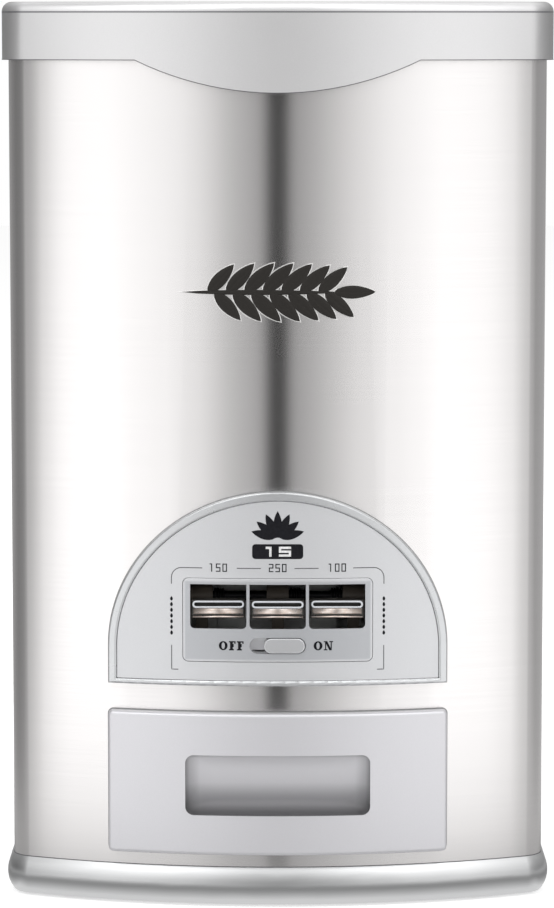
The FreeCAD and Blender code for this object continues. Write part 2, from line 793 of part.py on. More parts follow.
def hinge_nose(radius):
    """Everything behind a round nose about the hinge axis, which the lid swings past."""
    nose = rod(radius, V(-body_width, hinge_y, hinge_z), V(body_width, hinge_y, hinge_z))
    return nose.fuse([box(-body_width, body_width, hinge_y, back + body_depth, 0, 2 * total_height),
                      box(-body_width, body_width, hinge_y - radius, hinge_y, 0, hinge_z)])


def hinge_housing():
    behind = hinge_nose(hinge_setback - lid_joint_gap)
    outer = plan_solid(lid_outset, lid_bottom, total_height).common(behind)
    top = [edge for edge in outer.Edges if edge.BoundBox.ZMin > total_height - touch
           and edge.BoundBox.YMax > hinge_y]
    outer = outer.makeFillet(lid_edge_radius, top)
    hollow = plan_solid(lid_outset - lid_wall, lid_bottom, total_height - lid_wall)
    hollow = hollow.common(hinge_nose(hinge_setback - lid_joint_gap - lid_wall))
    shell = outer.cut(hollow)
    blocks = []
    pockets = []
    pins = []
    far = hinge_y + barrel_radius + 2 * pocket_gap
    low = arm_bottom() - pocket_gap
    for side in (-1, 1):
        x = side * hinge_spacing / 2
        half = arm_width / 2 + pocket_gap
        block = box(x - half - lid_wall, x + half + lid_wall, lid_back + lid_joint_gap,
                    far + lid_wall, low - lid_wall, total_height - lid_wall / 2)
        blocks.append(block.common(behind))
        pockets.append(box(x - half, x + half, lid_back, far, low, total_height + cut_over))
        pins.append(rod(hinge_pin_radius, V(x - half - lid_wall, hinge_y, hinge_z),
                        V(x + half + lid_wall, hinge_y, hinge_z)))
    bosses = [rod(2 * screw_radius, V(x, hinge_y, collar_top), V(x, hinge_y, total_height - lid_wall))
              for x in (-hinge_spacing / 4, hinge_spacing / 4)]
    shell = shell.cut(plan_solid(lid_outset - lid_wall, lid_bottom, collar_top))
    seat = plan_solid(lid_outset - lid_wall, collar_top, collar_top + lid_wall).common(behind)
    seat = seat.cut(plan_solid(-mouth_inset + rim_wall + part_gap, 0, total_height, mouth_back + mouth_inset))
    shell = shell.fuse(blocks + bosses + [seat]).cut(pockets + pins + housing_screw_shapes(screw_hole))
    keep("hinge_housing", shell)
    keep("hinge_pins", pins)
    keep("hinge_housing_screws", housing_screw_shapes(screw))


# ---------------------------------------------------------------- metering block
def chamber_widths():
    return [grams / grain_density / (chamber_height * chamber_depth) for grams in portions]


def chamber_edges():
    """Left and right faces of each chamber, from the widths that the portions need."""
    widths = chamber_widths()
    left = -(sum(widths) + 2 * chamber_wall) / 2
    edges = []
    for width in widths:
        edges.append((left, left + width))
        left += width + chamber_wall
    return edges


def bolt_points():
    x = half_throat() + chamber_wall + post_size / 2
    return [(side * x, y) for side in (-1, 1)
            for y in (block_front + post_size / 2, block_back - post_size / 2)]


def bolt_holes():
    return [rod(bolt_radius, V(x, y, plate_bottom), V(x, y, deck_top)) for x, y in bolt_points()]


def metering_box():
    half = half_throat() + chamber_wall
    block = box(-half, half, block_front, block_back, chamber_bottom, chamber_top)
    rim_low = box(-half, half, chamber_front + chamber_depth, block_back, plate_top, roof_bottom)
    sides = [box(x, x + chamber_wall - gate_clearance, block_front, block_back, plate_top, roof_bottom)
             for x in (-half, half - chamber_wall + gate_clearance)]
    posts = [box(x - post_size / 2, x + post_size / 2, y - post_size / 2, y + post_size / 2,
                 plate_top, roof_bottom) for x, y in bolt_points()]
    block = block.fuse([rim_low] + sides + posts)
    chambers = [box(x0, x1, chamber_front, chamber_front + chamber_depth, plate_top, roof_bottom)
                for x0, x1 in chamber_edges()]
    keep("metering_box", block.cut(chambers + bolt_holes()))


def metering_plates():
    half = half_throat() + chamber_wall + post_size
    roof = box(-half, half, block_front, block_back, roof_bottom, roof_top)
    floor = box(-half, half, block_front, block_back, plate_bottom, plate_top)
    for x0, x1 in chamber_edges():
        left = x0 + gate_side_margin
        right = x1 - gate_side_margin
        roof = roof.cut(box(left, right, inlet_front, inlet_front + gate_opening, roof_bottom, roof_top))
        outlet = inlet_front + crank_swing
        floor = floor.cut(box(left, right, outlet, outlet + gate_opening, plate_bottom, plate_top))
    keep("metering_roof", roof.cut(bolt_holes()))
    keep("metering_base", floor.cut(bolt_holes()))
    keep("metering_bolts", [screw(V(x, y, plate_bottom), V(0, 0, 1), deck_top - plate_bottom)
                            for x, y in bolt_points()])


def chute():
    """Tapered duct under the outlets."""
    half = half_throat()
    near = inlet_front + crank_swing - gate_opening / 2
    far = near + 2 * gate_opening

    def duct(spread):
        radius = chute_radius + spread
        upper = window_wire(-half - spread, half + spread, near - spread, far + spread, plate_bottom, radius)
        lower = window_wire(-chute_half_width - spread, chute_half_width + spread, near - spread,
                            far + spread, chute_bottom, radius)
        return Part.makeLoft([lower, upper], True, True)

    flange = box(-half - post_size, half + post_size, near - 2 * chute_wall, far + 2 * chute_wall,
                 plate_bottom - chute_wall, plate_bottom)
    keep("chute", duct(chute_wall).fuse(flange).cut(duct(0)))


def shutters():
    tongue_low = chamber_top + gate_clearance
    tongue_high = roof_bottom - gate_clearance
    plate_low = plate_top + gate_clearance
    plate_high = chamber_bottom - gate_clearance
    web_back = web_y + web_thick
    fork_low = pivot_height - crank_length - drive_pin_radius - web_thick - gate_clearance
    fork_high = plate_low - gate_clearance
    crank_half = crank_width / 2
    for index, (x0, x1) in enumerate(chamber_edges()):
        left = x0 - chamber_wall / 2 + gate_side_gap / 2
        right = x1 + chamber_wall / 2 - gate_side_gap / 2
        if index == 0:
            left = x0 + gate_clearance
        if index == 2:
            right = x1 - gate_clearance
        crank = crank_middles[index]
        web_left, web_right = left, right
        if index == 1:
            web_right = crank_middles[2] - crank_half - hub_radius
        tongue = box(left, right, block_front - gate_clearance, inlet_front - gate_clearance,
                     tongue_low, tongue_high)
        stem_top = box(web_left, web_right, web_y, block_front, tongue_low, tongue_high)
        bottom = box(left, right, block_front - gate_clearance,
                     chamber_front + chamber_depth - crank_swing - 2 * gate_clearance, plate_low, plate_high)
        stem_bottom = box(web_left, web_right, web_y, block_front, plate_low, plate_high)
        web = box(web_left, web_right, web_y, web_back, plate_low, tongue_high)
        fork_left = crank - crank_half - 2 * web_thick
        fork_right = crank + crank_half + 2 * web_thick
        root_left, root_right = fork_left, fork_right
        if index == 2:
            root_left, root_right = web_left, web_right
        bridge = box(fork_left, max(fork_right, root_right), web_y, web_back, fork_low, fork_high)
        link = box(root_left, root_right, web_y, web_back, fork_low, plate_high)
        fork_front = pivot_y - drive_pin_radius - fork_gap - web_thick
        cheeks = box(fork_left, fork_right, fork_front, web_y, fork_low, fork_high)
        cheeks = cheeks.cut([
            box(crank - crank_half - 2 * fork_gap, crank + crank_half + 2 * fork_gap,
                fork_front - cut_over, web_y, fork_low, fork_high),
            box(fork_left, fork_right, pivot_y - drive_pin_radius - fork_gap,
                pivot_y + drive_pin_radius + fork_gap, fork_low + web_thick, fork_high)])
        aperture = box(x0 + gate_side_margin, x1 - gate_side_margin, inlet_front,
                       inlet_front + gate_opening, plate_low, plate_high)
        body = web.fuse([tongue, stem_top, bottom, stem_bottom, bridge, link]).fuse(cheeks)
        keep("shutter_" + side_names[index], body.cut(aperture))


# ---------------------------------------------------------------- control panel
def ledge_top():
    return panel_proud - face_sink - face_plate


def face_grow():
    return panel_proud - face_sink


def control_bezel():
    rim = bow_slab(0, panel_proud, panel_bottom, total_height)
    rim = rim.common(from_front(half_round(0, 0)))
    mouth = bow_slab(ledge_top(), panel_proud + cut_over, 0, total_height)
    rim = rim.cut(mouth.common(from_front(half_round(panel_rim_width, panel_sill_width))))
    rim = rim.makeFillet(face_sink, front_edges(rim, panel_proud))
    rim = rim.cut(from_front(half_round(panel_rim_width + ledge_width, panel_sill_width + sill_ledge_width)))
    rim = rim.cut([panel_screw(x, height, screw_hole) for x, height in panel_screw_points()])
    keep("control_bezel", rim)
    keep("panel_screws", [panel_screw(x, height, screw) for x, height in panel_screw_points()])


def control_face():
    face = bow_slab(ledge_top(), face_grow(), panel_bottom, total_height)
    face = face.common(from_front(half_round(panel_rim_width + part_gap, panel_sill_width + part_gap)))
    wide = surround_half_width + part_gap
    face = face.cut(from_front(front_wire(-wide, wide, surround_bottom - part_gap,
                                          surround_top + part_gap, surround_radius + part_gap)))
    face = face.cut([panel_screw(x, height, screw_hole) for x, height in panel_screw_points()])
    keep("control_face", face)


def lock_slot_wire():
    half = lock_slot_width / 2
    return stadium_wire(-half, half, lock_height - lock_slot_height / 2,
                        lock_height + lock_slot_height / 2)


def button_surround():
    plate = bow_slab(ledge_top(), face_grow() + part_gap, 0, total_height)
    plate = plate.common(from_front(front_wire(-surround_half_width, surround_half_width,
                                               surround_bottom, surround_top, surround_radius)))
    plate = plate.makeFillet(2 * part_gap, front_edges(plate, face_grow() + part_gap))
    cuts = [from_front(lock_slot_wire())]
    for middle in window_middles:
        left = middle - window_width / 2
        right = middle + window_width / 2
        cuts.append(from_front(front_wire(left, right, window_bottom, window_top, window_radius)))
        cuts.append(from_front(front_wire(left, right, (window_bottom + window_top) / 2,
                                          window_top, part_gap)))
        relief = from_front(front_wire(left, right, window_bottom - surround_relief, window_bottom
                                       + surround_relief, part_gap))
        cuts.append(relief.common(bow_slab(0, face_grow() - surround_skin, 0, total_height)))
    keep("button_surround", plate.cut(cuts))


def lever_housing():
    wall = housing_wall
    wide = surround_half_width + wall
    low = surround_bottom - wall
    high = surround_top + wall
    depth_end = pivot_y + hub_radius + wall
    flange = bow_slab(0, ledge_top(), 0, total_height)
    flange = flange.common(from_front(front_wire(-wide - 2 * wall, wide + 2 * wall, low - 2 * wall,
                                                 high + 2 * wall, surround_radius)))
    edge = surround_half_width - wall
    flange = flange.cut(from_front(front_wire(-edge, edge, surround_bottom + wall,
                                              surround_top - wall / 2, surround_radius)))
    shelf_end = front + lock_bar_back() + 2 * wall
    inside = Part.makeCylinder(bow_radius + ledge_top(), total_height, V(0, bow_centre, 0))
    shaft_low = pivot_height - shaft_radius - 2 * wall
    pieces = [box(-wide, wide, front - wall, depth_end, surround_top, high)]
    for side in (-1, 1):
        near_x = side * (wide - wall / 2)
        pieces.append(box(near_x - wall / 2, near_x + wall / 2, front - wall, shelf_end, low, high))
        pieces.append(box(near_x - wall / 2, near_x + wall / 2, front - wall, depth_end, shaft_low, high))
        middle = side * window_pitch / 2
        pieces.append(box(middle - divider / 2, middle + divider / 2, front - wall, depth_end,
                          lock_height + lock_bar_height / 2 + 2 * divider, surround_top))
    shelf_top = lock_height - lock_bar_height / 2 - gate_clearance
    pieces.append(box(-wide, wide, front - wall, shelf_end, low, shelf_top).cut(
        from_front(lock_slot_wire())))
    guide_x = lock_bar_length / 4
    back_face = front + lock_bar_back() + gate_clearance
    for side in (-1, 1):
        x = side * guide_x
        hook_low = lock_height + lock_bar_height / 2 + gate_clearance
        pieces.append(box(x - wall, x + wall, back_face, back_face + wall, low, hook_low + wall / 2))
        pieces.append(box(x - wall, x + wall, back_face - lock_bar_thick - 2 * gate_clearance,
                          back_face + wall, hook_low, hook_low + wall / 2))
    body = pieces[0].fuse(pieces[1:]).common(inside)
    body = body.fuse(flange)
    bore = rod(shaft_radius, V(-wide, pivot_y, pivot_height), V(wide, pivot_y, pivot_height))
    keep("lever_housing", body.cut(bore))
    keep("pivot_shaft", bore)


# ---------------------------------------------------------------- levers
def cap_front(middle):
    return bow_point(middle, panel_proud - cap_recess, 0).y


def levers():
    for index in range(3):
        name = side_names[index]
        middle = window_middles[index]
        crank = crank_middles[index]
        near = cap_front(middle)
        half = cap_width / 2
        cap = box(middle - half, middle + half, near, near + cap_depth, cap_bottom, cap_top)
        rim = [edge for edge in cap.Edges if edge.BoundBox.YMax < near + touch]
        cap = cap.makeFillet(cap_edge, rim)
        slot = stadium_wire(-half + cap_rim, half - cap_rim, cap_top - lip_height + cap_rim / 2,
                            cap_top - cap_rim)
        slot = Part.Face(slot).extrude(V(0, cap_depth / 2, 0))
        slot.translate(V(middle, near - cap_edge, 0))
        groove = box(middle - half, middle + half, near - cut_over, near + cap_rim,
                     cap_top - lip_height - cap_rim / 2, cap_top - lip_height)
        lower = box(middle - half, middle + half, near - cut_over, near + cap_rim, cap_bottom + cap_edge,
                    cap_bottom + cap_edge + cap_rim / 2)
        tongue_low = cap_bottom + cap_edge + cap_rim
        tongue_high = cap_top - lip_height - cap_rim
        socket = box(middle - half / 2, middle + half / 2, near + cap_depth - cap_rim * 2, near + cap_depth,
                     tongue_low, tongue_high)
        keep("lever_cap_" + name, cap.cut([slot, groove, lower, socket]))

        beam_low = cap_bottom + cap_edge
        beam_high = cap_top - lip_height + cap_edge
        cross_end = near + cap_depth + 3 * cap_rim
        cross = box(middle - half + cap_rim, middle + half - cap_rim, near + cap_depth, cross_end,
                    beam_low, beam_high)
        tongue = box(middle - half / 2, middle + half / 2, near + cap_depth - cap_rim * 2, cross_end,
                     tongue_low, tongue_high)
        stem = box(crank - crank_width / 2, crank + crank_width / 2, cross_end, pivot_y, beam_low,
                   beam_high)
        hub = rod(hub_radius, V(crank - hub_length / 2, pivot_y, pivot_height),
                  V(crank + hub_length / 2, pivot_y, pivot_height))
        arm = box(crank - crank_width / 2, crank + crank_width / 2, pivot_y - crank_thick / 2,
                  pivot_y + crank_thick / 2, pivot_height - crank_length, pivot_height)
        foot = rod(crank_thick / 2, V(crank - crank_width / 2, pivot_y, pivot_height - crank_length),
                   V(crank + crank_width / 2, pivot_y, pivot_height - crank_length))
        pin_half = crank_width / 2 + 2 * web_thick - gate_clearance
        pin = rod(drive_pin_radius, V(crank - pin_half, pivot_y, pivot_height - crank_length),
                  V(crank + pin_half, pivot_y, pivot_height - crank_length))
        foot_cut = foot.cut(pin)
        lever = hub.fuse([cross, tongue, stem, arm, foot_cut, pin])
        bore = rod(shaft_radius + shaft_clearance, V(crank - hub_length, pivot_y, pivot_height),
                   V(crank + hub_length, pivot_y, pivot_height))
        keep("lever_arm_" + name, lever.cut(bore))


def coil_point(turn, side):
    """A point on the middle line of a return spring, so many turns from its start."""
    mean = shaft_radius + spring_fit + spring_wire / 2
    angle = 2 * math.pi * turn
    return V(side * spring_pitch * turn, mean * math.cos(angle), mean * math.sin(angle))


def return_springs():
    for index in range(3):
        side = -1 if index == 2 else 1
        start = crank_middles[index] + side * (hub_length / 2 + spring_wire)
        turns = [step / coil_steps for step in range(int(spring_turns * coil_steps))]
        half = 0.5 / coil_steps
        path = [arc(coil_point(turn, side), coil_point(turn + half, side), coil_point(turn + 2 * half, side))
                for turn in turns]
        section = Part.makeCircle(spring_wire / 2, coil_point(0, side),
                                  path[0].tangentAt(path[0].FirstParameter))
        coil = Part.Wire(path).makePipeShell([Part.Wire([section])], True, True)
        coil.translate(V(start, pivot_y, pivot_height))
        keep("return_spring_" + side_names[index], coil)


# ---------------------------------------------------------------- lock
def lock_bar_back():
    sag = bow_radius - math.sqrt(bow_radius ** 2 - (lock_bar_length / 2) ** 2)
    return sag - ledge_top() + lock_bar_clear + lock_bar_thick + gate_clearance


def lock():
    right = lock_slot_width / 2 - (lock_slot_width - lock_knob_width - lock_travel) / 2
    left = right - lock_knob_width
    bar_back = front + lock_bar_back()
    bar_front = bar_back - lock_bar_thick
    nose = front - face_grow() - part_gap - lock_knob_proud
    outline = stadium_wire(left, right, lock_height - lock_knob_height / 2,
                           lock_height + lock_knob_height / 2)
    knob = Part.Face(outline).extrude(V(0, bar_front - nose, 0))
    knob.translate(V(0, nose, 0))
    rim = [edge for edge in knob.Edges if edge.BoundBox.YMax < nose + touch]
    keep("lock_knob", knob.makeFillet(lock_knob_round, rim))
    middle = lock_travel / 2
    keep("lock_bar", box(middle - lock_bar_length / 2, middle + lock_bar_length / 2, bar_front, bar_back,
                         lock_height - lock_bar_height / 2, lock_height + lock_bar_height / 2))
    guide_x = lock_bar_length / 4 - housing_wall
    spring_y = bar_back + gate_clearance
    keep("lock_detent_spring", box(-guide_x, guide_x, spring_y, spring_y + detent_thick,
                                   lock_height - detent_height / 2, lock_height + detent_height / 2))


# ---------------------------------------------------------------- emblem
def grain_prism(x, z, length, width, turn):
    """A pointed oval, seen from the front, turned about its inner end."""
    bow = Part.Wire([arc(V(0, 0, 0), V(length / 2, 0, width / 2), V(length, 0, 0)),
                     arc(V(length, 0, 0), V(length / 2, 0, -width / 2), V(0, 0, 0))])
    bow.rotate(V(0, 0, 0), V(0, -1, 0), turn)
    bow.translate(V(x, 0, z))
    return from_front(bow)


def front_emblem():
    """A raised ear of grain lying on its side."""
    start = -emblem_length / 2
    shapes = [grain_prism(start, emblem_middle, stalk_length, stalk_width, 0)]
    for row in range(grain_rows):
        x = start + grain_start + row * grain_pitch
        for side in (-1, 1):
            shapes.append(grain_prism(x, emblem_middle, grain_length, grain_width, side * grain_turn))
    shapes.append(grain_prism(start + tip_start, emblem_middle, emblem_length - tip_start, grain_width, 0))
    slab = bow_slab(0, emblem_proud, emblem_middle - grain_length, emblem_middle + grain_length)
    keep("front_emblem", slab.common(shapes[0].fuse(shapes[1:])))


def build():
    for make in (body_wrap, back_panel, base_tray, inner_frame, drawer_rails, drawer_front, drawer_tray,
                 hopper, top_collar, lid, lid_inside, lid_arms, hinge_housing, metering_box,
                 metering_plates, chute, shutters, control_bezel, control_face, button_surround,
                 lever_housing, levers, return_springs, lock, front_emblem):
        make()
    os.makedirs("parts", exist_ok=True)
    for name, shape in parts.items():
        shape.exportStep("parts/" + name + ".step")


build()
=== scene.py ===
"""Looks of the rice dispenser: finishes for its CAD nodes, the ornament, the printed marks and the stage."""

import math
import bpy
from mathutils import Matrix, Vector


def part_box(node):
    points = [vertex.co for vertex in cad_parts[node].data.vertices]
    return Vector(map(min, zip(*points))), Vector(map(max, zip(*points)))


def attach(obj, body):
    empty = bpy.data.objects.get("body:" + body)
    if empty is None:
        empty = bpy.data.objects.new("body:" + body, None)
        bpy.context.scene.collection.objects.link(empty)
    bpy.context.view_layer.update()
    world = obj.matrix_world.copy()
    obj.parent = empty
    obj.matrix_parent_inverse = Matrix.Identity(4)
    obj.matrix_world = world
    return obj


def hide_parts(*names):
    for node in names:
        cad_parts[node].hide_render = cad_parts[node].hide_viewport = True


bl_info = {
    "name": "Rice dispenser looks",
    "version": (1, 0, 0),
    "blender": (4, 5, 0),
    "location": "3D View > Sidebar > Dispenser",
    "description": "Finishes, ornament, printed marks and stage of a rice dispenser with a drawer",
    "category": "Object",
}

import bmesh
import bpy
from bpy.props import FloatProperty, FloatVectorProperty, IntProperty, PointerProperty
from mathutils import Vector
from mathutils.geometry import convex_hull_2d

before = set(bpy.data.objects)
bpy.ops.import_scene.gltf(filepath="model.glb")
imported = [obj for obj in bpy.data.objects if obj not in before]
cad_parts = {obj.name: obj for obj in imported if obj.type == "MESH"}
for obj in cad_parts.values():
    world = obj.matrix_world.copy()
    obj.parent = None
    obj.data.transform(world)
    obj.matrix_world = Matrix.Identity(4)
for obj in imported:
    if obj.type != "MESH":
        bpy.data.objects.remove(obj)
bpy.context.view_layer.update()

MM = 0.001
SIDES = ("left", "centre", "right")
cap_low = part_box("lever_cap_left")[0]
surround_low, surround_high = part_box("button_surround")
knob_low, knob_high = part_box("lock_knob")
emblem_low, emblem_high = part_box("front_emblem")
lid_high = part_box("lid_shell")[1]
base_low, base_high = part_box("base_tray")
drawer_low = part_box("drawer_front")[0]
CAP_MIDDLES = [sum((corner.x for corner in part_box("lever_cap_" + side)), 0.0) / 2 for side in SIDES]

FACE_PROUD = 4.0 * MM  # how far the panel's plate stands out from the steel
SURROUND_PROUD = 4.2 * MM  # how far the plate round the buttons stands out from the steel
MERGE = 2e-6  # corners of a CAD mesh that are closer than this are one corner
SENSOR = 36.0  # height of the camera's sensor in millimetres
PICTURE_HEIGHT = 908.0  # height of the rendered picture in pixels
FOCAL_PIXELS = 3675.5  # focal length in the same pixels
SHIFT_PIXELS = (-0.68, -40.0)  # how far the camera's axis is moved across and up the picture


# ---------------------------------------------------------------- sizes and colours
def length(name, default, description):
    return FloatProperty(name=name, description=description, default=default, min=0.0, unit="LENGTH",
                         precision=5)


def colour(name, default, description):
    return FloatVectorProperty(name=name, description=description, default=default, min=0.0, max=1.0,
                               size=3, subtype="COLOR")


def share(name, default, description):
    return FloatProperty(name=name, description=description, default=default, min=0.0, max=1.0,
                         subtype="FACTOR")


class DispenserSteel(bpy.types.PropertyGroup):
    sheet: colour("Sheet", (0.808, 0.790, 0.786), "Colour of the brushed sheet")
    roughness: share("Roughness", 0.21, "Roughness of the brushed sheet")
    brush_pitch: length("Brush pitch", 0.35 * MM, "Distance between brush lines")
    chrome: colour("Chrome", (0.80, 0.73, 0.69), "Colour of the plated buttons")
    zinc: colour("Zinc", (0.62, 0.64, 0.66), "Colour of the zinc-coated inner sheet")
    fastener: colour("Fasteners", (0.55, 0.55, 0.56), "Colour of screws, bolts and pins")
    spring: colour("Springs", (0.035, 0.035, 0.037), "Colour of the shaft and the springs")


class DispenserPlastic(bpy.types.PropertyGroup):
    lid: colour("Lid", (0.75, 0.745, 0.75), "Silver of the lid")
    groove_shadow: colour("Groove", (0.30, 0.30, 0.31), "Shadow line round the lid")
    panel: colour("Panel", (0.62, 0.625, 0.64), "Silver of the control panel")
    surround: colour("Surround", (0.47, 0.48, 0.50), "Silver of the plate round the buttons")
    rim: colour("Rim", (0.60, 0.61, 0.62), "Silver of the rim of the panel")
    lip: colour("Lip", (0.60, 0.62, 0.65), "Lip of each button")
    drawer: colour("Drawer", (0.65, 0.645, 0.67), "Silver of the drawer front")
    base: colour("Base", (0.66, 0.665, 0.67), "Silver of the base")
    white: colour("White", (0.83, 0.83, 0.81), "Hopper, tray and inside of the lid")
    works: colour("Works", (0.74, 0.75, 0.75), "Metering block, shutters and duct")
    lock_bar: colour("Lock bar", (0.80, 0.80, 0.82), "Bar behind the lock knob")
    black: colour("Black", (0.022, 0.020, 0.018), "Lever housing, buttons and ornament")
    # Paler brown-grey of the lever housing below the buttons: a painted reflection.
    painted_reflection_black: colour("Worn black", (0.22, 0.185, 0.155), "Lever housing below the buttons")
    # The brown-grey of the lever arms also stands for the painted reflection below the buttons.
    lever: colour("Levers", (0.20, 0.168, 0.14), "Lever arms behind the buttons")
    seal: colour("Seal", (0.55, 0.55, 0.54), "Seal of the lid")
    rubber: colour("Rubber", (0.035, 0.035, 0.036), "Feet")
    # Dark wires that stand for painted shade along the rims and fronts.
    rim_shadow: colour("Rim shadow", (0.10, 0.10, 0.105), "Beads under the lid and over the base")
    front_shadow: colour("Front shadow", (0.20, 0.205, 0.205), "Beads behind the panel and the drawer front")


class DispenserMarks(bpy.types.PropertyGroup):
    ink: colour("Ink", (0.008, 0.008, 0.01), "Printing ink")
    line_ink: colour("Line ink", (0.09, 0.09, 0.095), "Ink of the frame line")
    pale_ink: colour("Pale ink", (0.50, 0.50, 0.50), "Ink of the capacity number")
    proud: length("Film", 0.06 * MM, "How far the ink film stands off the face")
    line: length("Line", 0.42 * MM, "Width of the frame line")
    digit_height: length("Digits", 4.1 * MM, "Height of the portion numbers")
    word_height: length("Words", 4.6 * MM, "Height of the lock words")


class DispenserOrnament(bpy.types.PropertyGroup):
    rows: IntProperty(name="Pairs of grains", description="Pairs of grains on the ear", default=7, min=1)
    span: length("Length", 97.0 * MM, "Length of the ear")
    grain: length("Grain", 21.0 * MM, "Length of one grain")
    grain_width: length("Grain width", 7.2 * MM, "Width of one grain")
    turn: FloatProperty(name="Turn", description="Turn of a grain from the stalk", default=math.radians(47.0),
                        subtype="ANGLE")
    relief: length("Relief", 0.9 * MM, "How far the ornament stands off the steel")
    rim: length("Rim", 0.55 * MM, "Width of the pale rim")
    rim_colour: colour("Rim colour", (0.72, 0.71, 0.70), "Colour of the pale rim")


class DispenserGrip(bpy.types.PropertyGroup):
    half_width: length("Half width", 46.0 * MM, "Half the width of the drawer grip")
    low: length("Bottom", 47.6 * MM, "Height of its lower edge")
    high: length("Top", 78.0 * MM, "Height of its upper edge")
    corner: length("Corner", 4.2 * MM, "Radius of its corners")
    round: length("Rounding", 6.5 * MM, "Rounding between wall and back")
    depth_top: length("Depth above", 6.0 * MM, "Depth at the top")
    depth_low: length("Depth below", 15.0 * MM, "Depth at the bottom")


class DispenserStudio(bpy.types.PropertyGroup):
    distance: length("Distance", 1.8, "From the camera to the front")
    eye: length("Eye", 0.44, "Height of the camera")
    pitch: FloatProperty(name="Pitch", description="Downward turn of the camera",
                         default=math.radians(6.089), subtype="ANGLE")
    focal: FloatProperty(name="Focal length", description="For the camera's sensor",
                         default=FOCAL_PIXELS / PICTURE_HEIGHT * SENSOR, unit="CAMERA")
    floor: colour("Floor", (0.86, 0.86, 0.86), "Floor under the dispenser")


GROUPS = (("steel", DispenserSteel), ("plastic", DispenserPlastic), ("marks", DispenserMarks),
          ("ornament", DispenserOrnament), ("grip", DispenserGrip), ("studio", DispenserStudio))


def settings(name):
    return getattr(bpy.context.scene, "dispenser_" + name)


# ---------------------------------------------------------------- the bowed front and pieces on it
def find_bow():
    """Radius of the bowed front and the place of its middle, from the steel outside the panel.

    The radii come out smaller at the rounded corners, so the one a quarter from the largest is taken.
    """
    reach, inner, least_rise = 18 * MM, 60 * MM, 4 * MM
    points = [vertex.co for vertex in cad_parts["body_wrap"].data.vertices]
    front = min(point.y for point in points)
    radii = []
    for point in points:
        rise = point.y - front
        if least_rise < rise < reach and abs(point.x) > inner:
            radii.append((point.x * point.x + rise * rise) / (2 * rise))
    radii.sort()
    return radii[-1 - len(radii) // 4], front


BOW, FRONT = find_bow()


def bow_y(x, proud):
    """Where the bowed front lies at x, moved out by an amount."""
    radius = BOW + proud
    return FRONT + BOW - math.sqrt(radius * radius - x * x)


def new_object(name, mesh):
    piece = bpy.data.objects.new(name, mesh)
    bpy.context.scene.collection.objects.link(piece)
    return piece


def finish_piece(piece, body):
    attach(piece, body)


def mesh_of(name, bm, finish=None):
    """The mesh that a bmesh holds, with a finish."""
    mesh = bpy.data.meshes.new(name)
    bm.to_mesh(mesh)
    bm.free()
    if finish:
        mesh.materials.append(finish)
    return mesh


def guide_mesh(name, points, edges=()):
    mesh = bpy.data.meshes.new(name)
    mesh.from_pydata(points, edges, [])
    return mesh


def film(name, outlines, proud, depth, finish):
    """A thin printed film on the bowed front, from outlines in front view (x, z)."""
    bm = bmesh.new()
    for outline in outlines:
        outer = [bm.verts.new((x, bow_y(x, proud), z)) for x, z in outline]
        inner = [bm.verts.new((x, bow_y(x, proud - depth), z)) for x, z in outline]
        bm.faces.new(outer)
        bm.faces.new(list(reversed(inner)))
        for index in range(len(outline)):
            after = (index + 1) % len(outline)
            bm.faces.new((outer[after], outer[index], inner[index], inner[after]))
    bmesh.ops.recalc_face_normals(bm, faces=bm.faces)
    finish_piece(new_object(name, mesh_of(name, bm, finish)), "cabinet")


def bar(x0, x1, z0, z1):
    """Outline of a strip in front view, in a list of its own."""
    return [[(x0, z0), (x1, z0), (x1, z1), (x0, z1)]]


def rounded_bar(half, z0, z1, radius):
    """Outlines of a strip with rounded corners, cut into steps that follow the bow."""
    turns, spans = 5, 9
    end = [-half + radius * (1 - math.cos(math.radians(90 * step / turns))) for step in range(turns + 1)]
    middle = [-half + radius + (half - radius) * 2 * step / spans for step in range(1, spans)]
    places = end + middle + [-x for x in reversed(end)]
    strips = []
    for left, right in zip(places, places[1:]):
        trims = []
        for x in (left, right):
            past = max(0.0, abs(x) - (half - radius))
            trims.append(radius - math.sqrt(max(0.0, radius * radius - past * past)))
        strips.append([(left, z0 + trims[0]), (right, z0 + trims[1]),
                       (right, z1 - trims[1]), (left, z1 - trims[0])])
    return strips


# ---------------------------------------------------------------- shader helpers
COLOUR, NUMBER, VECTOR = "NodeSocketColor", "NodeSocketFloat", "NodeSocketVector"
SURFACE = (("Colour", COLOUR), ("Roughness", NUMBER), ("Height", NUMBER))
PALE = (0.8, 0.8, 0.8, 1.0)
SHARED = {}


def feed(tree, node, label, source):
    """Link a source to an input of a node, or set that input to a value or a colour."""
    socket = node.inputs[label]
    if isinstance(source, bpy.types.NodeSocket):
        tree.links.new(source, socket)
    elif socket.type == "RGBA":
        socket.default_value = (*source, 1.0)
    else:
        socket.default_value = source


def fill(tree, node, **values):
    """Feed several inputs of a node by their names, with a low line for each space."""
    for label, source in values.items():
        feed(tree, node, label.replace("_", " "), source)
    return node


def new_node(tree, kind, **values):
    return fill(tree, tree.nodes.new(kind), **values)


def math_node(tree, operation, first, second=0.0):
    node = tree.nodes.new("ShaderNodeMath")
    node.operation = operation
    feed(tree, node, 0, first)
    feed(tree, node, 1, second)
    return node.outputs[0]


def plus(tree, first, second):
    return math_node(tree, "ADD", first, second)


def minus(tree, first, second):
    return math_node(tree, "SUBTRACT", first, second)


def times(tree, first, second):
    return math_node(tree, "MULTIPLY", first, second)


def over(tree, first, second):
    return math_node(tree, "DIVIDE", first, second)


def larger(tree, first, second):
    return math_node(tree, "MAXIMUM", first, second)


def unsigned(tree, value):
    return math_node(tree, "ABSOLUTE", value)


def vector_node(tree, operation, first, label, second):
    node = tree.nodes.new("ShaderNodeVectorMath")
    node.operation = operation
    feed(tree, node, 0, first)
    feed(tree, node, label, second)
    return node.outputs[0]


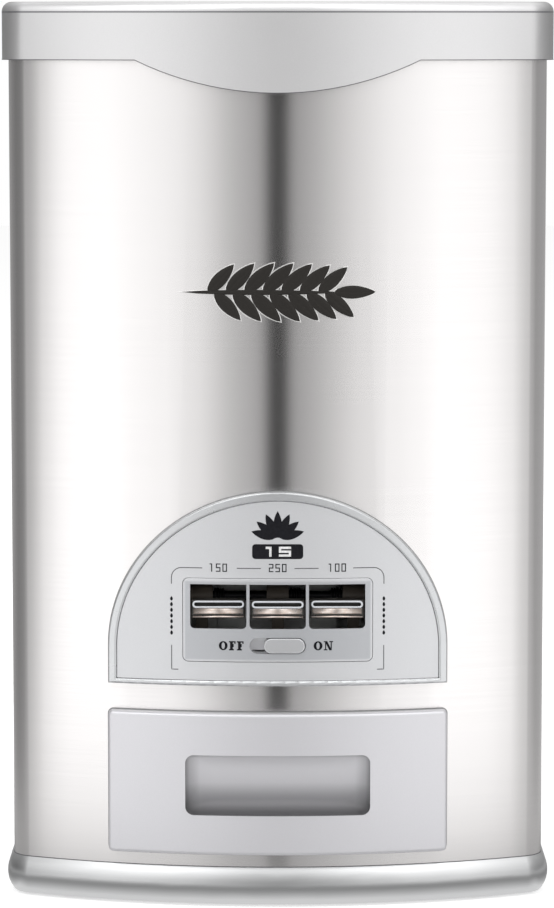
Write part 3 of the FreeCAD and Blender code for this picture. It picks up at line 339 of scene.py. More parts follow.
def ramp(tree, source, stops):
    """A colour ramp, or a ramp of greys where its stops are numbers."""
    node = tree.nodes.new("ShaderNodeValToRGB")
    feed(tree, node, 0, source)
    elements = node.color_ramp.elements
    while len(elements) < len(stops):
        elements.new(0.5)
    for element, (place, level) in zip(elements, stops):
        element.position = place
        element.color = (level, level, level, 1.0) if isinstance(level, float) else (*level, 1.0)
    return node.outputs[0]


def mix_colour(tree, factor, first, second, blend="MIX"):
    node = tree.nodes.new("ShaderNodeMix")
    node.data_type = "RGBA"
    node.blend_type = blend
    for index, source in ((0, factor), (6, first), (7, second)):
        feed(tree, node, index, source)
    return node.outputs[2]


def multiplied(tree, first, second):
    return mix_colour(tree, 1.0, first, second, "MULTIPLY")


def axes_of(tree, vector):
    """X, Y and Z of a vector, by name."""
    split = tree.nodes.new("ShaderNodeSeparateXYZ")
    feed(tree, split, 0, vector)
    return split.outputs


def object_place(tree):
    return tree.nodes.new("ShaderNodeTexCoord").outputs["Object"]


def grey(level):
    return (level, level, level)


def object_noise(tree, scale, detail=3.0, rough=0.5):
    """Noise on Object coordinates, stretched by a scale for each axis."""
    stretch = new_node(tree, "ShaderNodeMapping", Vector=object_place(tree), Scale=scale)
    noise = new_node(tree, "ShaderNodeTexNoise", Vector=stretch.outputs["Vector"], Scale=1.0, Detail=detail,
                     Roughness=rough)
    return noise.outputs["Fac"]


def group_tree(name, inputs, outputs, kind="ShaderNodeTree"):
    """A node group with its named inputs and outputs, and the two nodes that stand for them."""
    tree = bpy.data.node_groups.new(name, kind)
    for label, socket_kind, default in inputs:
        socket = tree.interface.new_socket(label, in_out="INPUT", socket_type=socket_kind)
        if default is not None:
            socket.default_value = default
    for label, socket_kind in outputs:
        tree.interface.new_socket(label, in_out="OUTPUT", socket_type=socket_kind)
    return tree, tree.nodes.new("NodeGroupInput"), tree.nodes.new("NodeGroupOutput")


def use_group(tree, group, **values):
    node = tree.nodes.new("ShaderNodeGroup")
    node.node_tree = group
    return fill(tree, node, **values)


def put_surface(tree, given, put, swing, roughness, height):
    """Put out the given colour, lightened by twice a swing about zero, with a roughness and a height."""
    lift = plus(tree, times(tree, swing, 2.0), 1.0)
    colour_out = vector_node(tree, "SCALE", given.outputs["Colour"], "Scale", lift)
    fill(tree, put, Colour=colour_out, Roughness=roughness, Height=height)
    return tree


def brushing_group(pitch):
    """Lines left by brushing: a colour, a roughness and a height that vary along Z."""
    tree, given, put = group_tree("brush lines", (("Colour", COLOUR, PALE), ("Roughness", NUMBER, 0.25),
                                                  ("Amount", NUMBER, 0.1)), SURFACE)
    fine = object_noise(tree, (9.0, 9.0, 0.5 / pitch), 4.0, 0.65)
    broad = object_noise(tree, (4.0, 4.0, 0.06 / pitch), 2.0)
    lines = plus(tree, times(tree, fine, 0.86), times(tree, broad, 0.14))
    swing = times(tree, minus(tree, lines, 0.5), given.outputs["Amount"])
    roughness = minus(tree, given.outputs["Roughness"], times(tree, swing, 0.5))
    return put_surface(tree, given, put, swing, roughness, lines)


def skin_group():
    """Skin of moulded or painted plastic: faint mottling, smudges and a fine orange-peel height."""
    tree, given, put = group_tree("moulded skin", (("Colour", COLOUR, PALE), ("Roughness", NUMBER, 0.4),
                                                   ("Mottle", NUMBER, 0.04), ("Smudge", NUMBER, 0.06)),
                                  SURFACE)
    fine = object_noise(tree, grey(2600.0), 2.0)
    broad = object_noise(tree, grey(22.0), 3.0)
    mottle = times(tree, minus(tree, fine, 0.5), given.outputs["Mottle"])
    smudge = times(tree, minus(tree, broad, 0.5), given.outputs["Smudge"])
    return put_surface(tree, given, put, mottle, plus(tree, given.outputs["Roughness"], smudge), fine)


# ---------------------------------------------------------------- finishes
def material(name):
    made = bpy.data.materials.new(name)
    made.use_nodes = True
    tree = made.node_tree
    return made, tree, tree.nodes["Principled BSDF"]


def bump(tree, shader, height, distance, strength=0.5):
    node = new_node(tree, "ShaderNodeBump", Strength=strength, Distance=distance, Height=height)
    fill(tree, shader, Normal=node.outputs["Normal"])


def wear(tree, shader, surface, distance, strength=0.5):
    """Give a shader the colour, the roughness and the height of a surface group."""
    fill(tree, shader, Base_Color=surface.outputs["Colour"], Roughness=surface.outputs["Roughness"])
    bump(tree, shader, surface.outputs["Height"], distance, strength)


def wear_skin(tree, shader, tint, roughness, mottle=0.05, smudge=0.05, peel=0.01):
    """Give a shader the moulded skin. Its peel is a height in millimetres."""
    skin = use_group(tree, SHARED["skin"], Colour=tint, Roughness=roughness, Mottle=mottle, Smudge=smudge)
    wear(tree, shader, skin, peel * MM)
    return skin


def skin_material(name, tint, roughness, metallic=0.0, mottle=0.04, smudge=0.06, peel=0.01):
    """Moulded or painted plastic."""
    made, tree, shader = material(name)
    wear_skin(tree, shader, tint, roughness, mottle, smudge, peel)
    fill(tree, shader, Metallic=metallic)
    return made


def brushed_material(name, tint, roughness, amount, anisotropy=0.0, height=0.004, rotation=0.25):
    """Brushed or plated metal with level lines. A rotation of 0.25 spreads gleams upright."""
    made, tree, shader = material(name)
    lines = use_group(tree, SHARED["brushing"], Colour=tint, Roughness=roughness, Amount=amount)
    wear(tree, shader, lines, height * MM, 0.35)
    fill(tree, shader, Metallic=1.0, Anisotropic=anisotropy)
    if anisotropy:
        tangent = tree.nodes.new("ShaderNodeTangent")
        tangent.direction_type = "RADIAL"
        tangent.axis = "Z"
        fill(tree, shader, Anisotropic_Rotation=rotation, Tangent=tangent.outputs["Tangent"])
    return made


def ease_corners(tree, shader, start, slope):
    """Ease the light round into the front corners, from a distance either side of the middle outwards."""
    out = larger(tree, minus(tree, unsigned(tree, axes_of(tree, object_place(tree))["X"]), start), 0.0)
    eased = new_node(tree, "ShaderNodeBump", Strength=1.0, Distance=1.0,
                     Height=times(tree, times(tree, out, out), -slope))
    brush_bump = shader.inputs["Normal"].links[0].from_node
    fill(tree, brush_bump, Normal=eased.outputs["Normal"])


def body_material(steel):
    """Brushed sheet whose light eases round into the front corners."""
    start, slope = 117.0 * MM, 1.5
    made = brushed_material("brushed sheet", steel.sheet, steel.roughness, 0.035, anisotropy=1.0,
                            height=0.0025)
    ease_corners(made.node_tree, made.node_tree.nodes["Principled BSDF"], start, slope)
    return made


def zinc_material(name, tint):
    """Zinc-coated sheet with its crystals."""
    made, tree, shader = material(name)
    cells = new_node(tree, "ShaderNodeTexVoronoi", Scale=160.0, Vector=object_place(tree))
    spangle = ramp(tree, cells.outputs["Color"], ((0.0, 0.82), (1.0, 1.0)))
    dull = ramp(tree, cells.outputs["Color"], ((0.0, 0.32), (1.0, 0.46)))
    fill(tree, shader, Base_Color=multiplied(tree, tint, spangle), Roughness=dull, Metallic=1.0)
    return made


def lid_material(name, tint, groove_shadow):
    """Silver with painted shade that darkens it towards the rounded sides, and a painted shadow line round
    the lid under its top.
    """
    line_drop, line_half = 5.1 * MM, 0.45 * MM
    made, tree, shader = material(name)
    skin = wear_skin(tree, shader, tint, 0.34)
    place = axes_of(tree, object_place(tree))
    out = over(tree, unsigned(tree, place["X"]), lid_high.x)
    # Painted shade: the silver darkens towards the rounded sides of the lid.
    side_shaded = multiplied(tree, skin.outputs["Colour"], ramp(tree, out, ((0.91, 1.0), (0.985, 0.62))))
    # Painted shadow line where a groove runs round the lid under its top.
    away = unsigned(tree, minus(tree, place["Z"], lid_high.z - line_drop))
    line = math_node(tree, "LESS_THAN", away, line_half)
    fill(tree, shader, Base_Color=mix_colour(tree, line, side_shaded, groove_shadow), Metallic=0.75)
    return made


def edge_highlight_silver(name, tint, edge):
    """Silver with a painted highlight: it lightens in a narrow band along the edges of the plate round the
    buttons.
    """
    band, sharpness = 1.5 * MM, 900.0
    upper_band = 1.3 * band
    made, tree, shader = material(name)
    place = axes_of(tree, object_place(tree))
    across = minus(tree, unsigned(tree, place["X"]), surround_high.x - band)
    above = minus(tree, place["Z"], surround_high.z - upper_band)
    below = minus(tree, surround_low.z + band, place["Z"])
    outer = larger(tree, larger(tree, across, above), below)
    # Painted highlight along the edges, a little wider along the top edge.
    highlight_mask = ramp(tree, times(tree, outer, sharpness), ((0.0, 0.0), (0.8, 1.0)))
    wear_skin(tree, shader, mix_colour(tree, highlight_mask, tint, edge), 0.32)
    fill(tree, shader, Metallic=0.5)
    return made


def housing_material(name, black, painted_reflection_black, silver):
    """Black behind the windows, paler brown-grey below the buttons as a painted reflection, silver round the
    lock slot.
    """
    slot_edge, reflection_sharpness = knob_high.z + 2.0 * MM, 400.0
    made, tree, shader = material(name)
    height = axes_of(tree, object_place(tree))["Z"]
    below_caps = times(tree, minus(tree, cap_low.z, height), reflection_sharpness)
    # Painted reflection: the housing turns paler brown-grey below the buttons.
    reflection_band = ramp(tree, below_caps, ((0.0, black), (1.0, painted_reflection_black)))
    above = math_node(tree, "GREATER_THAN", height, slot_edge)
    wear_skin(tree, shader, mix_colour(tree, above, silver, reflection_band), 0.45)
    return made


def pocket_material(name, tint, grip):
    """Drawer silver with painted shade that darkens it towards the bottom and the ends of the pocket and
    right under its top edge.
    """
    made, tree, shader = material(name)
    place = axes_of(tree, object_place(tree))
    up = over(tree, minus(tree, place["Z"], grip.low), grip.high - grip.low)
    # Painted shade: darker towards the bottom of the pocket and right under its top edge.
    painted_depth_shade = ramp(tree, up, ((0.0, 0.12), (0.05, 0.22), (0.10, 0.28), (0.24, 0.47), (0.5, 0.78),
                           (0.94, 0.86), (1.0, 0.60)))
    end = over(tree, unsigned(tree, place["X"]), grip.half_width)
    # Painted shade towards the ends of the pocket.
    ends = ramp(tree, end, ((0.84, 1.0), (0.95, 0.72), (1.0, 0.40)))
    wear_skin(tree, shader, multiplied(tree, multiplied(tree, painted_depth_shade, ends), tint), 0.5)
    return made


def worn_chrome(name, tint):
    """Plated metal with faint warm stains and fine handling marks."""
    made, tree, shader = material(name)
    stain = object_noise(tree, (700.0, 700.0, 1500.0), 4.0, 0.6)
    stained = [level * part for level, part in zip(tint, (0.93, 0.84, 0.77))]
    fill(tree, shader, Base_Color=ramp(tree, stain, ((0.35, tint), (0.65, stained))),
         Roughness=ramp(tree, stain, ((0.3, 0.24), (0.7, 0.40))), Metallic=1.0)
    bump(tree, shader, stain, 0.01 * MM)
    return made


def ink_material(name, tint):
    """Printing ink with a faint unevenness."""
    made, tree, shader = material(name)
    paler = [level * 1.6 for level in tint]
    uneven = ramp(tree, object_noise(tree, grey(900.0), 2.0), ((0.3, tint), (0.8, paler)))
    fill(tree, shader, Base_Color=uneven, Roughness=0.55, Specular_IOR_Level=0.10)
    return made


def finish_nodes(finish, *names):
    """Give CAD nodes a finish."""
    for name in names:
        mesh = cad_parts[name].data
        mesh.materials.clear()
        mesh.materials.append(finish)


def for_sides(stem):
    """Names of a node's three copies."""
    return [stem + side for side in SIDES]


def smooth_skin(name, node, body, finish):
    """A merged copy of a CAD node, shaded without creases along its roundings, in place of that node."""
    crease = math.radians(32.0)
    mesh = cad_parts[node].data.copy()
    mesh.name = name
    if "custom_normal" in mesh.attributes:
        mesh.attributes.remove(mesh.attributes["custom_normal"])
    bm = bmesh.new()
    bm.from_mesh(mesh)
    bmesh.ops.remove_doubles(bm, verts=bm.verts, dist=MERGE)
    for face in bm.faces:
        face.smooth = True
    for edge in bm.edges:
        edge.smooth = len(edge.link_faces) == 2 and edge.calc_face_angle(math.pi) < crease
    bm.to_mesh(mesh)
    bm.free()
    mesh.materials.clear()
    mesh.materials.append(finish)
    piece = new_object(name, mesh)
    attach(piece, body)
    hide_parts(node)
    modifier = piece.modifiers.new("even shading", "WEIGHTED_NORMAL")
    modifier.keep_sharp = True


# ---------------------------------------------------------------- operators: finishes of the CAD nodes
class DISPENSER_OT_finish_body(bpy.types.Operator):
    """Brushed steel of the body and its removable back"""
    bl_idname = "dispenser.finish_body"
    bl_label = "Finish the body"

    def execute(self, context):
        steel = settings("steel")
        SHARED["brushing"] = brushing_group(steel.brush_pitch)
        SHARED["skin"] = skin_group()
        smooth_skin("body_skin", "body_wrap", "cabinet", body_material(steel))
        zinc = zinc_material("zinc sheet", steel.zinc)
        finish_nodes(zinc, "back_panel", "inner_frame", "drawer_rail_left", "drawer_rail_right")
        return {"FINISHED"}


class DISPENSER_OT_finish_lid(bpy.types.Operator):
    """Silver lid with its liner, seal, hinge and collar"""
    bl_idname = "dispenser.finish_lid"
    bl_label = "Finish the lid"

    def execute(self, context):
        plastic = settings("plastic")
        silver = lid_material("lid silver", plastic.lid, plastic.groove_shadow)
        smooth_skin("lid_skin", "lid_shell", "lid", silver)
        smooth_skin("hinge_skin", "hinge_housing", "cabinet", silver)
        white = skin_material("lid white", plastic.white, 0.42)
        finish_nodes(white, "lid_liner", "top_collar", "lid_hinge_arms")
        finish_nodes(skin_material("seal rubber", plastic.seal, 0.7, peel=0.03), "lid_gasket")
        return {"FINISHED"}


class DISPENSER_OT_finish_base(bpy.types.Operator):
    """Satin silver base and its rubber feet"""
    bl_idname = "dispenser.finish_base"
    bl_label = "Finish the base"

    def execute(self, context):
        plastic = settings("plastic")
        silver = brushed_material("base silver", plastic.base, 0.30, 0.03, anisotropy=0.25, height=0.002,
                                  rotation=0.0)
        smooth_skin("base_skin", "base_tray", "cabinet", silver)
        finish_nodes(skin_material("foot rubber", plastic.rubber, 0.75, peel=0.04), "rubber_feet")
        return {"FINISHED"}


class DISPENSER_OT_finish_panel(bpy.types.Operator):
    """Half-round control panel, its surround, buttons and lock"""
    bl_idname = "dispenser.finish_panel"
    bl_label = "Finish the control panel"

    def execute(self, context):
        plastic = settings("plastic")
        face = skin_material("panel silver", plastic.panel, 0.36, metallic=0.5, mottle=0.05, smudge=0.05)
        finish_nodes(face, "control_face")
        finish_nodes(edge_highlight_silver("surround silver", plastic.surround, plastic.panel), "button_surround")
        rim = skin_material("rim silver", plastic.rim, 0.27, metallic=0.7, mottle=0.04, smudge=0.05)
        smooth_skin("panel_rim", "control_bezel", "cabinet", rim)
        knob = skin_material("knob silver", plastic.panel, 0.26, metallic=0.6, mottle=0.03, smudge=0.04)
        finish_nodes(knob, "lock_knob")
        finish_nodes(skin_material("bar grey", plastic.lock_bar, 0.4), "lock_bar")
        housing = housing_material("works black", plastic.black, plastic.painted_reflection_black, plastic.panel)
        finish_nodes(housing, "lever_housing")
        finish_nodes(skin_material("button black", plastic.black, 0.4), *for_sides("lever_cap_"))
        return {"FINISHED"}


class DISPENSER_OT_finish_drawer(bpy.types.Operator):
    """Silver drawer front and its white tray"""
    bl_idname = "dispenser.finish_drawer"
    bl_label = "Finish the drawer"

    def execute(self, context):
        plastic = settings("plastic")
        front = skin_material("drawer silver", plastic.drawer, 0.36, metallic=0.5, mottle=0.05, smudge=0.05)
        finish_nodes(front, "drawer_front")
        finish_nodes(skin_material("tray white", plastic.white, 0.38), "drawer_tray")
        return {"FINISHED"}


class DISPENSER_OT_finish_works(bpy.types.Operator):
    """Hopper, metering block, shutters, duct, levers, shaft, springs and fasteners"""
    bl_idname = "dispenser.finish_works"
    bl_label = "Finish the works"

    def execute(self, context):
        plastic = settings("plastic")
        steel = settings("steel")
        finish_nodes(skin_material("hopper white", plastic.white, 0.40, smudge=0.1), "hopper")
        works = skin_material("works white", plastic.works, 0.45)
        finish_nodes(works, "metering_roof", "metering_box", "metering_base", "chute", *for_sides("shutter_"))
        finish_nodes(skin_material("lever black", plastic.lever, 0.40), *for_sides("lever_arm_"))
        fastener = brushed_material("fastener steel", steel.fastener, 0.3, 0.05)
        finish_nodes(fastener, "back_panel_screws", "frame_screws", "hinge_housing_screws", "hinge_pins",
                     "hopper_screws", "metering_bolts", "panel_screws", "lid_screws", "drawer_screws")
        spring = brushed_material("blackened steel", steel.spring, 0.42, 0.05)
        finish_nodes(spring, "pivot_shaft", "lock_detent_spring", *for_sides("return_spring_"))
        return {"FINISHED"}


# ---------------------------------------------------------------- geometry trees
def geometry_tree(name, inputs):
    """A geometry tree with its named inputs, each a size in metres or an object."""
    return group_tree(name, (("Geometry", "NodeSocketGeometry", None),) + inputs,
                      (("Geometry", "NodeSocketGeometry"),), "GeometryNodeTree")


def step_on(tree, kind, source, **values):
    """What a node of one kind makes of a source, with its named inputs set or linked."""
    node = new_node(tree, kind, **values)
    feed(tree, node, 0, source)
    return node.outputs[0]


def put_painted(tree, put, geometry, finish):
    """Make instances real, give them a finish and put them out."""
    real = step_on(tree, "GeometryNodeRealizeInstances", geometry)
    fill(tree, put, Geometry=step_on(tree, "GeometryNodeSetMaterial", real, Material=finish))
    return tree


def sweep(tree, guide, section):
    """A solid with a section along a guide's edges."""
    return step_on(tree, "GeometryNodeCurveToMesh", guide, Profile_Curve=section, Fill_Caps=True)


def lay_on_bow(tree, given, geometry):
    """Move points back so that y = 0 lies on the bowed front."""
    radius, front = given.outputs["Bow radius"], given.outputs["Front"]
    x = axes_of(tree, tree.nodes.new("GeometryNodeInputPosition").outputs[0])["X"]
    reach = math_node(tree, "SQRT", minus(tree, times(tree, radius, radius), times(tree, x, x)))
    shift = new_node(tree, "ShaderNodeCombineXYZ", Y=minus(tree, plus(tree, front, radius), reach))
    return step_on(tree, "GeometryNodeSetPosition", geometry, Offset=shift.outputs[0])


BOW_INPUTS = (("Bow radius", NUMBER, BOW), ("Front", NUMBER, FRONT))


def ear_tree(finish):
    """Grains on the points of a stalk, each turned and scaled by its point, then laid on the bowed front."""
    tree, given, put = geometry_tree("ear of grain", (("Grain", "NodeSocketObject", None),) + BOW_INPUTS)
    info = new_node(tree, "GeometryNodeObjectInfo", Object=given.outputs["Grain"])
    turn = new_node(tree, "GeometryNodeInputNamedAttribute", Name="turn")
    size = new_node(tree, "GeometryNodeInputNamedAttribute", Name="size")
    size.data_type = "FLOAT_VECTOR"
    axis = new_node(tree, "ShaderNodeCombineXYZ", Y=turn.outputs[0])
    rotation = step_on(tree, "FunctionNodeEulerToRotation", axis.outputs[0])
    grains = step_on(tree, "GeometryNodeInstanceOnPoints", given.outputs["Geometry"],
                     Instance=info.outputs["Geometry"], Rotation=rotation, Scale=size.outputs[0])
    real = step_on(tree, "GeometryNodeRealizeInstances", grains)
    return put_painted(tree, put, lay_on_bow(tree, given, real), finish)


def loop_tree(finish):
    """A round wire along a guide."""
    tree, given, put = geometry_tree("wire loop", (("Wire radius", NUMBER, 0.5 * MM),))
    section = new_node(tree, "GeometryNodeCurvePrimitiveCircle", Resolution=12,
                       Radius=given.outputs["Wire radius"])
    guide = step_on(tree, "GeometryNodeMeshToCurve", given.outputs["Geometry"])
    wire = step_on(tree, "GeometryNodeSetShadeSmooth", sweep(tree, guide, section.outputs[0]))
    return put_painted(tree, put, wire, finish)


def frame_line_tree(ink):
    """A flat line of one width along the edges of a guide, laid on the bowed front."""
    tree, given, put = geometry_tree("frame line", (("Width", NUMBER, 0.4 * MM), ("Film", NUMBER, 0.06 * MM))
                                     + BOW_INPUTS)
    section = new_node(tree, "GeometryNodeCurvePrimitiveQuadrilateral", Width=given.outputs["Film"],
                       Height=given.outputs["Width"])
    curve = step_on(tree, "GeometryNodeMeshToCurve", given.outputs["Geometry"])
    spread = new_node(tree, "GeometryNodeResampleCurve", Curve=curve)
    spread.mode = "LENGTH"
    fill(tree, spread, Length=0.8 * MM)
    upright = new_node(tree, "GeometryNodeSetCurveNormal", Curve=spread.outputs[0])
    upright.mode = "FREE"
    fill(tree, upright, Normal=(0.0, -1.0, 0.0))
    line = sweep(tree, upright.outputs[0], section.outputs[0])
    return put_painted(tree, put, lay_on_bow(tree, given, line), ink)


def run_tree(name, start, tree, values):
    """Run a tree on a start mesh and keep the result as a plain mesh."""
    piece = new_object(name, start)
    modifier = piece.modifiers.new("shape", "NODES")
    modifier.node_group = tree
    for item in tree.interface.items_tree:
        if item.item_type == "SOCKET" and item.in_out == "INPUT" and item.name in values:
            modifier[item.identifier] = values[item.name]
    graph = bpy.context.evaluated_depsgraph_get()
    graph.update()
    result = bpy.data.meshes.new_from_object(piece.evaluated_get(graph), depsgraph=graph)
    result.name = name
    piece.modifiers.remove(modifier)
    piece.data = result
    return piece


def bow_values(proud=0.0):
    return {"Bow radius": BOW + proud, "Front": FRONT - proud}


# ---------------------------------------------------------------- operator: ornament
def grain_rows(bm, length, width, height):
    """Rows of points across a domed grain with a crease, from its inner end to its tip."""
    rings, spokes = 9, 6
    fullness, bluntness = 0.85, 0.8
    shoulder, crease_depth = 0.55, 0.12
    rows = []
    for ring in range(rings + 1):
        along = ring / rings
        if ring in (0, rings):
            rows.append([bm.verts.new((along * length, 0.0, 0.0))])
            continue
        half = 0.5 * width * math.sin(math.pi * along ** fullness) ** bluntness
        row = []
        for spoke in range(spokes + 1):
            across = 2 * spoke / spokes - 1
            dome = (1 - across * across) ** 0.5
            crease = crease_depth if spoke == spokes // 2 else 0.0
            lift = height * (dome * (1 - shoulder) + shoulder) * (1 - crease)
            row.append(bm.verts.new((along * length, -lift, half * across)))
        rows.append(row)
    return rows


def grain_mesh(name, length, width, height):
    """A domed grain with a crease, lying along +X from its inner end, its top towards -Y."""
    bm = bmesh.new()
    rows = grain_rows(bm, length, width, height)
    for first, second in zip(rows, rows[1:]):
        for index in range(max(len(first), len(second)) - 1):
            if len(first) == 1:
                bm.faces.new((first[0], second[index + 1], second[index]))
            elif len(second) == 1:
                bm.faces.new((second[0], first[index], first[index + 1]))
            else:
                bm.faces.new((first[index], first[index + 1], second[index + 1], second[index]))
    walls = bmesh.ops.extrude_edge_only(bm, edges=[edge for edge in bm.edges if edge.is_boundary])
    for item in walls["geom"]:
        if isinstance(item, bmesh.types.BMVert):
            item.co.y = 0.0
    bmesh.ops.contextual_create(bm, geom=[edge for edge in bm.edges if edge.is_boundary])
    bmesh.ops.remove_doubles(bm, verts=bm.verts, dist=1e-6)
    bmesh.ops.recalc_face_normals(bm, faces=bm.faces)
    return mesh_of(name, bm)


def stalk_points(name, points):
    """A mesh of loose points with a turn and a size each."""
    mesh = guide_mesh(name, [point for point, _, _ in points])
    turn = mesh.attributes.new("turn", "FLOAT", "POINT")
    size = mesh.attributes.new("size", "FLOAT_VECTOR", "POINT")
    for index, (_, angle, scale) in enumerate(points):
        turn.data[index].value = angle
        size.data[index].vector = scale
    return mesh


def ear_points(sizes):
    """Place, turn and size of the stalk, of each pair of grains and of the grain at the tip."""
    stalk_share, first_share, last_share, tip_share = 0.86, 0.16, 0.72, 0.22  # of the ear's length
    tip_gap, stagger, closing, apart = 0.06, 0.18, 0.12, 0.4 * MM
    middle = (emblem_low.z + emblem_high.z) / 2
    start = -sizes.span / 2
    gaps = max(sizes.rows - 1, 1)
    step = (last_share - first_share) * sizes.span / gaps
    points = [((start, 0.0, middle), 0.0, (stalk_share * sizes.span / sizes.grain, 1.0, 0.36))]
    for row in range(sizes.rows):
        along = row / gaps
        scale = 0.86 + 0.16 * math.sin(math.pi * (0.15 + 0.7 * along))
        for side in (-1, 1):
            x = start + first_share * sizes.span + (row + stagger * side) * step
            points.append(((x, 0.0, middle + side * apart), side * sizes.turn * (1 - closing * along),
                           (scale, 1.0, scale)))
    points.append(((start + (last_share + tip_gap) * sizes.span, 0.0, middle), 0.0,
                   (tip_share * sizes.span / sizes.grain, 1.0, 0.9)))
    return points


class DISPENSER_OT_ornament(bpy.types.Operator):
    """Raised ear of grain with a pale rim on the front of the body"""
    bl_idname = "dispenser.ornament"
    bl_label = "Make the ornament"

    def execute(self, context):
        sizes = settings("ornament")
        black = skin_material("emblem black", settings("plastic").black, 0.42, mottle=0.03, smudge=0.05)
        fill(black.node_tree, black.node_tree.nodes["Principled BSDF"], Specular_IOR_Level=0.15)
        rim = skin_material("emblem rim", sizes.rim_colour, 0.3, metallic=0.7)
        for name, grow, height, finish in (("ear_rim", sizes.rim, 0.5 * sizes.relief, rim),
                                           ("ear", 0.0, sizes.relief, black)):
            mesh = grain_mesh(name + "_grain", sizes.grain + 2 * grow, sizes.grain_width + 2 * grow, height)
            for vertex in mesh.vertices:
                vertex.co.x -= grow
            grain = new_object(mesh.name, mesh)
            piece = run_tree("front_" + name, stalk_points(name, ear_points(sizes)), ear_tree(finish),
                             {"Grain": grain, **bow_values()})
            bpy.data.objects.remove(grain)
            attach(piece, "cabinet")
            if name == "ear":
                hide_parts("front_emblem")
        return {"FINISHED"}


# ---------------------------------------------------------------- operators: lines of painted shade, button trim and grip
def lower_rim(name, node, reach, back):
    """A guide along the outer lower edge of a CAD node, up to a height above its lowest point."""
    bm = bmesh.new()
    bm.from_mesh(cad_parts[node].data)
    bmesh.ops.remove_doubles(bm, verts=bm.verts, dist=MERGE)
    bm.normal_update()
    highest = min(vertex.co.z for vertex in bm.verts) + reach
    points, edges = {}, []
    for edge in bm.edges:
        if len(edge.link_faces) != 2 or max(vertex.co.z for vertex in edge.verts) > highest:
            continue
        under, wall = sorted(edge.link_faces, key=lambda face: face.normal.z)
        middle = (edge.verts[0].co + edge.verts[1].co) / 2
        outward = wall.normal.x * middle.x + wall.normal.y * middle.y > 0.0
        if under.normal.z < -0.6 and abs(wall.normal.z) < 0.4 and outward and middle.y < back:
            edges.append([points.setdefault(tuple(vertex.co), len(points)) for vertex in edge.verts])
    bm.free()
    if not edges:
        raise RuntimeError("no rim found on " + node)
    return guide_mesh(name, list(points), edges)


def front_outline(name, node, proud):
    """A guide round the sides and top of a CAD node's convex front outline, close to the bowed sheet."""
    longest, sill = 4.0 * MM, 0.4 * MM
    corners = [(vertex.co.x, vertex.co.z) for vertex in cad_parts[node].data.vertices]
    around = [corners[index] for index in convex_hull_2d(corners)]
    points = []
    for (x0, z0), (x1, z1) in zip(around, around[1:] + around[:1]):
        parts = max(1, math.ceil(math.hypot(x1 - x0, z1 - z0) / longest))
        points += [(x0 + (x1 - x0) * part / parts, z0 + (z1 - z0) * part / parts) for part in range(parts)]
    above = min(z for x, z in points) + sill
    pairs = [(index, (index + 1) % len(points)) for index in range(len(points))]
    return guide_mesh(name, [(x, bow_y(x, proud), z) for x, z in points],
                      [pair for pair in pairs if max(points[index][1] for index in pair) > above])


class DISPENSER_OT_rim_lines(bpy.types.Operator):
    """Thin dark wires that stand for painted shade under the lid's skirt, over the base and behind the panel
    and the drawer front
    """
    bl_idname = "dispenser.rim_lines"
    bl_label = "Line the rims"

    def execute(self, context):
        plastic = settings("plastic")
        dark = skin_material("rim shadow", plastic.rim_shadow, 0.5)
        pale = skin_material("front shadow", plastic.front_shadow, 0.5)
        apron, hinge_gap, sheet_edge = 22.0 * MM, 4.0 * MM, 0.5 * MM
        skirt = lower_rim("skirt", "lid_shell", apron, lid_high.y - hinge_gap)
        base = lower_rim("base", "body_wrap", sheet_edge, base_high.y)
        drawer = front_outline("drawer", "drawer_front", 0.50 * MM)
        panel = front_outline("panel", "control_bezel", 0.35 * MM)
        # Each wire is a dark line of painted shade along a rim or a front edge.
        for name, guide, finish, body, radius in (("skirt_bead", skirt, dark, "lid", 0.19),
                                                  ("base_bead", base, dark, "cabinet", 0.25),
                                                  ("drawer_bead", drawer, pale, "drawer", 0.40),
                                                  ("panel_bead", panel, pale, "cabinet", 0.28)):
            piece = run_tree(name, guide, loop_tree(finish), {"Wire radius": radius * MM})
            finish_piece(piece, body)
        return {"FINISHED"}


def stadium_points(x0, x1, z0, z1):
    """Points round a stadium in front view."""
    steps = 10
    radius = (z1 - z0) / 2
    middle = (z0 + z1) / 2
    points = []
    for centre, start in ((x1 - radius, -90.0), (x0 + radius, 90.0)):
        for step in range(steps + 1):
            angle = math.radians(start + 180.0 * step / steps)
            points.append((centre + radius * math.cos(angle), middle + radius * math.sin(angle)))
    return points


def strip_mesh(name, x0, x1, y, z0, z1, depth, finish):
    """A strip along X with a rounded front, its back at y."""
    steps = 10
    middle, half = (z0 + z1) / 2, (z1 - z0) / 2
    angles = [math.radians(180 * step / steps - 90) for step in range(steps + 1)]
    profile = [(y - depth * math.cos(angle), middle + half * math.sin(angle)) for angle in angles]
    bm = bmesh.new()
    left, right = [[bm.verts.new((x, *point)) for point in profile] for x in (x0, x1)]
    for index in range(steps):
        face = bm.faces.new((left[index], right[index], right[index + 1], left[index + 1]))
        face.smooth = True
    bm.faces.new((left[steps], right[steps], right[0], left[0]))
    bm.faces.new(left)
    bm.faces.new(list(reversed(right)))
    bmesh.ops.recalc_face_normals(bm, faces=bm.faces)
    return mesh_of(name, bm, finish)


